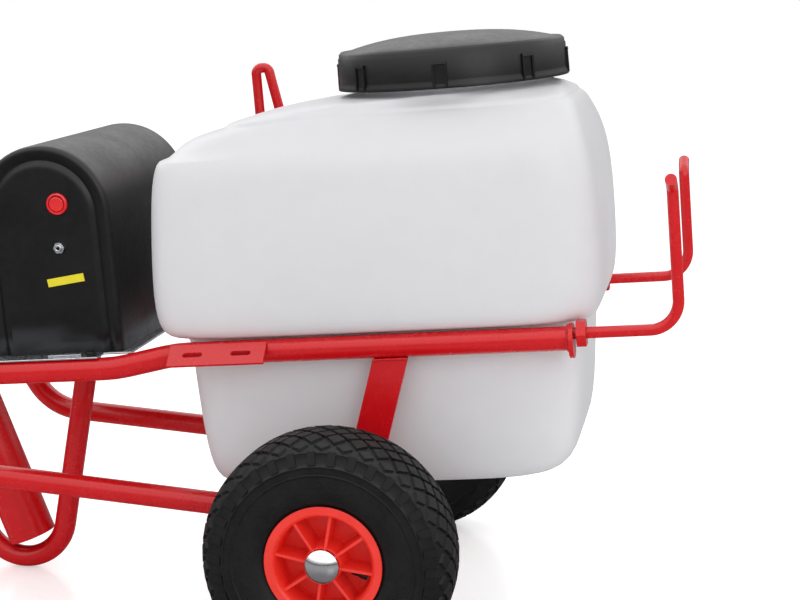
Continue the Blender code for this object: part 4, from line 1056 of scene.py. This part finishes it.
# ---------------------------------------------------------------- pump unit
def cover_ring(inset, y):
    """The cover's arch and its two straight sides, drawn in by an inset."""
    radius = COVER_R - inset
    steps = 48
    arch = [math.pi - math.pi * k / steps for k in range(steps + 1)]
    wall = [COVER_BOTTOM + (COVER_ARCH_Z - COVER_BOTTOM) * k / 6 for k in range(6)]
    ring = [(COVER_X - radius, y, z) for z in wall]
    ring += [(COVER_X + radius * math.cos(a), y, COVER_ARCH_Z + radius * math.sin(a)) for a in arch]
    return ring + [(COVER_X + radius, y, z) for z in reversed(wall)]


def make_cover():
    """The arch-topped cover, each end with a rounded rim round a slightly sunk face."""
    h = COVER_HALF
    rim = [
        (0.0, h - 0.0090), (0.0003, h - 0.0050), (0.0014, h - 0.0022), (0.0034, h - 0.0006), (0.0052, h),
        (0.0072, h - 0.0001), (0.0100, h - 0.0010), (0.0128, h - 0.0024), (0.0148, h - 0.0036),
        (0.0162, h - 0.0040), (0.0180, h - 0.0030), (0.0205, h - 0.0012), (0.0230, h - 0.0004),
        (0.0260, h - 0.0003),
    ]
    rings = [cover_ring(inset, -y) for inset, y in reversed(rim)] + [cover_ring(inset, y) for inset, y in rim]
    mesh = skinned(rings, closed_rings=False, first_cap=True, last_cap=True)
    cover = piece("arched_cover", mesh, "black_plastic", replaced=("pump_cover",))
    thicken(cover, COVER_WALL)


def make_switch():
    """A round red switch: a domed ring round a tilted, slightly dished rocker."""
    r, inner, shank = SWITCH_R, 0.0090, 0.0098
    place = LEVEL @ along((0, -1, 0), (SWITCH_X, -COVER_HALF - FIT, SWITCH_Z))
    body = [
        (0, -0.0065), (inner, -0.0065), (inner, 0.0022), (inner + 0.0004, 0.0028), (r - 0.0014, 0.0030),
        (r - 0.0004, 0.0022), (r, 0.0012), (r, 0), (shank, 0), (shank, -0.020), (0, -0.020),
    ]
    piece("switch_ring", turned(body, 48), "switch_red", replaced=("switch_body",), place=place)
    button = [
        (0, 0.0026), (0.0030, 0.0027), (0.0062, 0.0031), (0.0076, 0.0031), (0.0081, 0.0026),
        (0.0082, 0.0010), (0.0082, -0.0026), (0, -0.0026),
    ]
    tip = place @ Matrix.Rotation(ROCKER_REST, 4, "X")
    piece("rocker_button", turned(button, 48), "switch_red", "rocker", ("switch_rocker",), tip)


def make_jack():
    """The charging jack in its six-sided nut."""
    place = LEVEL @ along((0, -1, 0), (JACK_X, -COVER_HALF - FIT, JACK_Z))
    bore, r, nut_r, end, step, back = 0.0019, 0.0038, 0.0064, 0.006, -0.0036, -0.014
    barrel = [
        (0, -0.008), (bore, -0.008), (bore, end - 0.0004), (bore + 0.0004, end), (r - 0.0003, end),
        (r, end - 0.0003), (r, step), (nut_r, step), (nut_r, back), (0, back),
    ]
    piece("jack_barrel", turned(barrel, 32), "zinc_steel", replaced=("charge_jack",), place=place)
    softened("jack_nut", 0.0004, "zinc_steel")


def make_nozzle():
    """The barbed hose nozzle on the cover's rear."""
    r, length, bore, depth = NOZZLE_R, 0.030, 0.0045, -0.016
    section = [(r - 0.0022, length), (r - 0.0016, length - 0.0005)]
    for k in range(3):
        start = 0.0295 - 0.0065 * k
        section += [(r, start - 0.0050), (r, start - 0.0056), (r - 0.0014, start - 0.0060)]
    section += [
        (r - 0.0010, 0.0075), (r + 0.0036, 0.0070), (r + 0.0040, 0.0065), (r + 0.0040, 0.0004),
        (r + 0.0036, 0), (r, 0), (r, depth), (bore, depth), (bore, length),
    ]
    place = LEVEL @ along((-1, 0, 0), (COVER_X - COVER_R - FIT, NOZZLE_Y, NOZZLE_Z))
    mesh = turned(section, 40, closed=True)
    piece("hose_nozzle", mesh, "brass", replaced=("pump_outlet_nozzle",), place=place)


def make_pump_unit():
    """The cover with what is on it, and the tray that it stands on."""
    make_cover()
    make_switch()
    make_jack()
    make_nozzle()
    softened("pump_tray", 0.0006, "zinc_steel")
    softened("cover_clip", 0.0005, "zinc_steel")
    softened("cover_label", 0.0001, "yellow_label", segments=1)
    for side, _ in SIDES:
        softened(f"tray_bolt_{side}", 0.0007, "black_plastic")


def finish_the_rest():
    """Every CAD node that still shows gets its slot's finish."""
    slot_of = {part["node"]: part["material_slot"] for part in frame["record"]["subparts"]}
    for name, cad in frame["nodes"].items():
        if not cad.hide_render:
            cad.data.materials.clear()
            cad.data.materials.append(FINISH[slot_of[name]])


# ---------------------------------------------------------------- studio
def floor_finish():
    """A white studio floor that shows dim in what mirrors it, so that dark pieces stay dark."""
    surface = bpy.data.materials.new("studio floor")
    surface.use_nodes = True
    tree = surface.node_tree
    shader = tree.nodes["Principled BSDF"]
    rays = node(tree, "ShaderNodeLightPath")
    mirrored, seen = rays.outputs["Is Glossy Ray"], rays.outputs["Is Camera Ray"]
    tone = node(tree, "ShaderNodeMix", {0: mirrored, 6: WHITE, 7: DIM_FLOOR}, data_type="RGBA")
    tree.links.new(tone.outputs[2], shader.inputs["Base Color"])
    shader.inputs["Roughness"].default_value = 0.25
    glow = node(tree, "ShaderNodeMix", {0: seen, 6: BLACK, 7: WHITE}, data_type="RGBA")
    tree.links.new(glow.outputs[2], shader.inputs["Emission Color"])
    shader.inputs["Emission Strength"].default_value = FLOOR_GLOW
    return surface


def studio_world():
    """White all round to the eye and as fill light, but only overhead in what mirrors it."""
    world = bpy.data.worlds.new("studio")
    world.use_nodes = True
    tree = world.node_tree
    place = node(tree, "ShaderNodeTexCoord")
    split = node(tree, "ShaderNodeSeparateXYZ", {0: place.outputs["Generated"]})
    overhead = node(tree, "ShaderNodeMapRange",
                    {0: split.outputs[2], 2: MIRRORED_FULL_AT, 3: MIRRORED_LOW, 4: MIRRORED_HIGH},
                    interpolation_type="SMOOTHSTEP")
    rays = node(tree, "ShaderNodeLightPath")
    fill = node(tree, "ShaderNodeMix", {0: rays.outputs["Is Glossy Ray"], 2: FILL, 3: overhead.outputs[0]})
    seen = node(tree, "ShaderNodeMix", {0: rays.outputs["Is Camera Ray"], 2: fill.outputs[0], 3: 1.0})
    tree.links.new(seen.outputs[0], tree.nodes["Background"].inputs["Strength"])
    tree.nodes["Background"].inputs["Color"].default_value = WHITE
    return world


def make_stage():
    """A pale floor that runs off into a white surround."""
    corners = [(x * FLOOR_REACH, y * FLOOR_REACH, 0) for x, y in ((-1, -1), (1, -1), (1, 1), (-1, 1))]
    mesh = bpy.data.meshes.new("studio_floor")
    mesh.from_pydata(corners, [], [(0, 1, 2, 3)])
    mesh.materials.append(floor_finish())
    floor = bpy.data.objects.new("studio_floor", mesh)
    bpy.context.scene.collection.objects.link(floor)
    bpy.context.scene.world = studio_world()
    bpy.context.scene.view_settings.view_transform = "Standard"


def make_light(name, place, size, power):
    """A soft rectangle of light that looks at the cart's middle."""
    aim = Vector((AXLE.x, 0, AIM_HEIGHT))
    light = bpy.data.lights.new(name, "AREA")
    light.shape = "RECTANGLE"
    light.size, light.size_y = size
    light.energy = power
    lamp = bpy.data.objects.new(name, light)
    lamp.location = (AXLE.x + place[0], place[1], place[2])
    lamp.rotation_euler = (lamp.location - aim).to_track_quat("Z", "Y").to_euler()
    bpy.context.scene.collection.objects.link(lamp)


def make_camera():
    """From the right, a little ahead of the axle and above the tank."""
    camera = bpy.data.cameras.new("camera")
    camera.lens = LENS
    camera.sensor_width = SENSOR_WIDTH
    holder = bpy.data.objects.new("camera", camera)
    holder.location = (AXLE.x + CAMERA_AHEAD, CAMERA_ACROSS, CAMERA_UP)
    holder.rotation_euler = (math.pi / 2 - CAMERA_DOWN, 0, CAMERA_TURN)
    bpy.context.scene.collection.objects.link(holder)
    bpy.context.scene.camera = holder


def main():
    """Builds every piece, then the studio round the cart."""
    make_camera()
    make_rails()
    make_horns()
    make_hose_loop()
    make_lower_tubes()
    make_stand()
    make_welds()
    make_wheels()
    make_tank()
    make_pump_unit()
    finish_the_rest()
    make_stage()
    make_light("top softbox", (-0.2, -0.6, 2.4), (2.2, 2.0), 5)
    make_light("front softbox", (1.6, -2.2, 1.5), (1.4, 1.4), 10)
    make_light("rear strip", (-1.8, 1.4, 1.6), (1.2, 1.6), 6)


main()
bpy.context.view_layer.update()
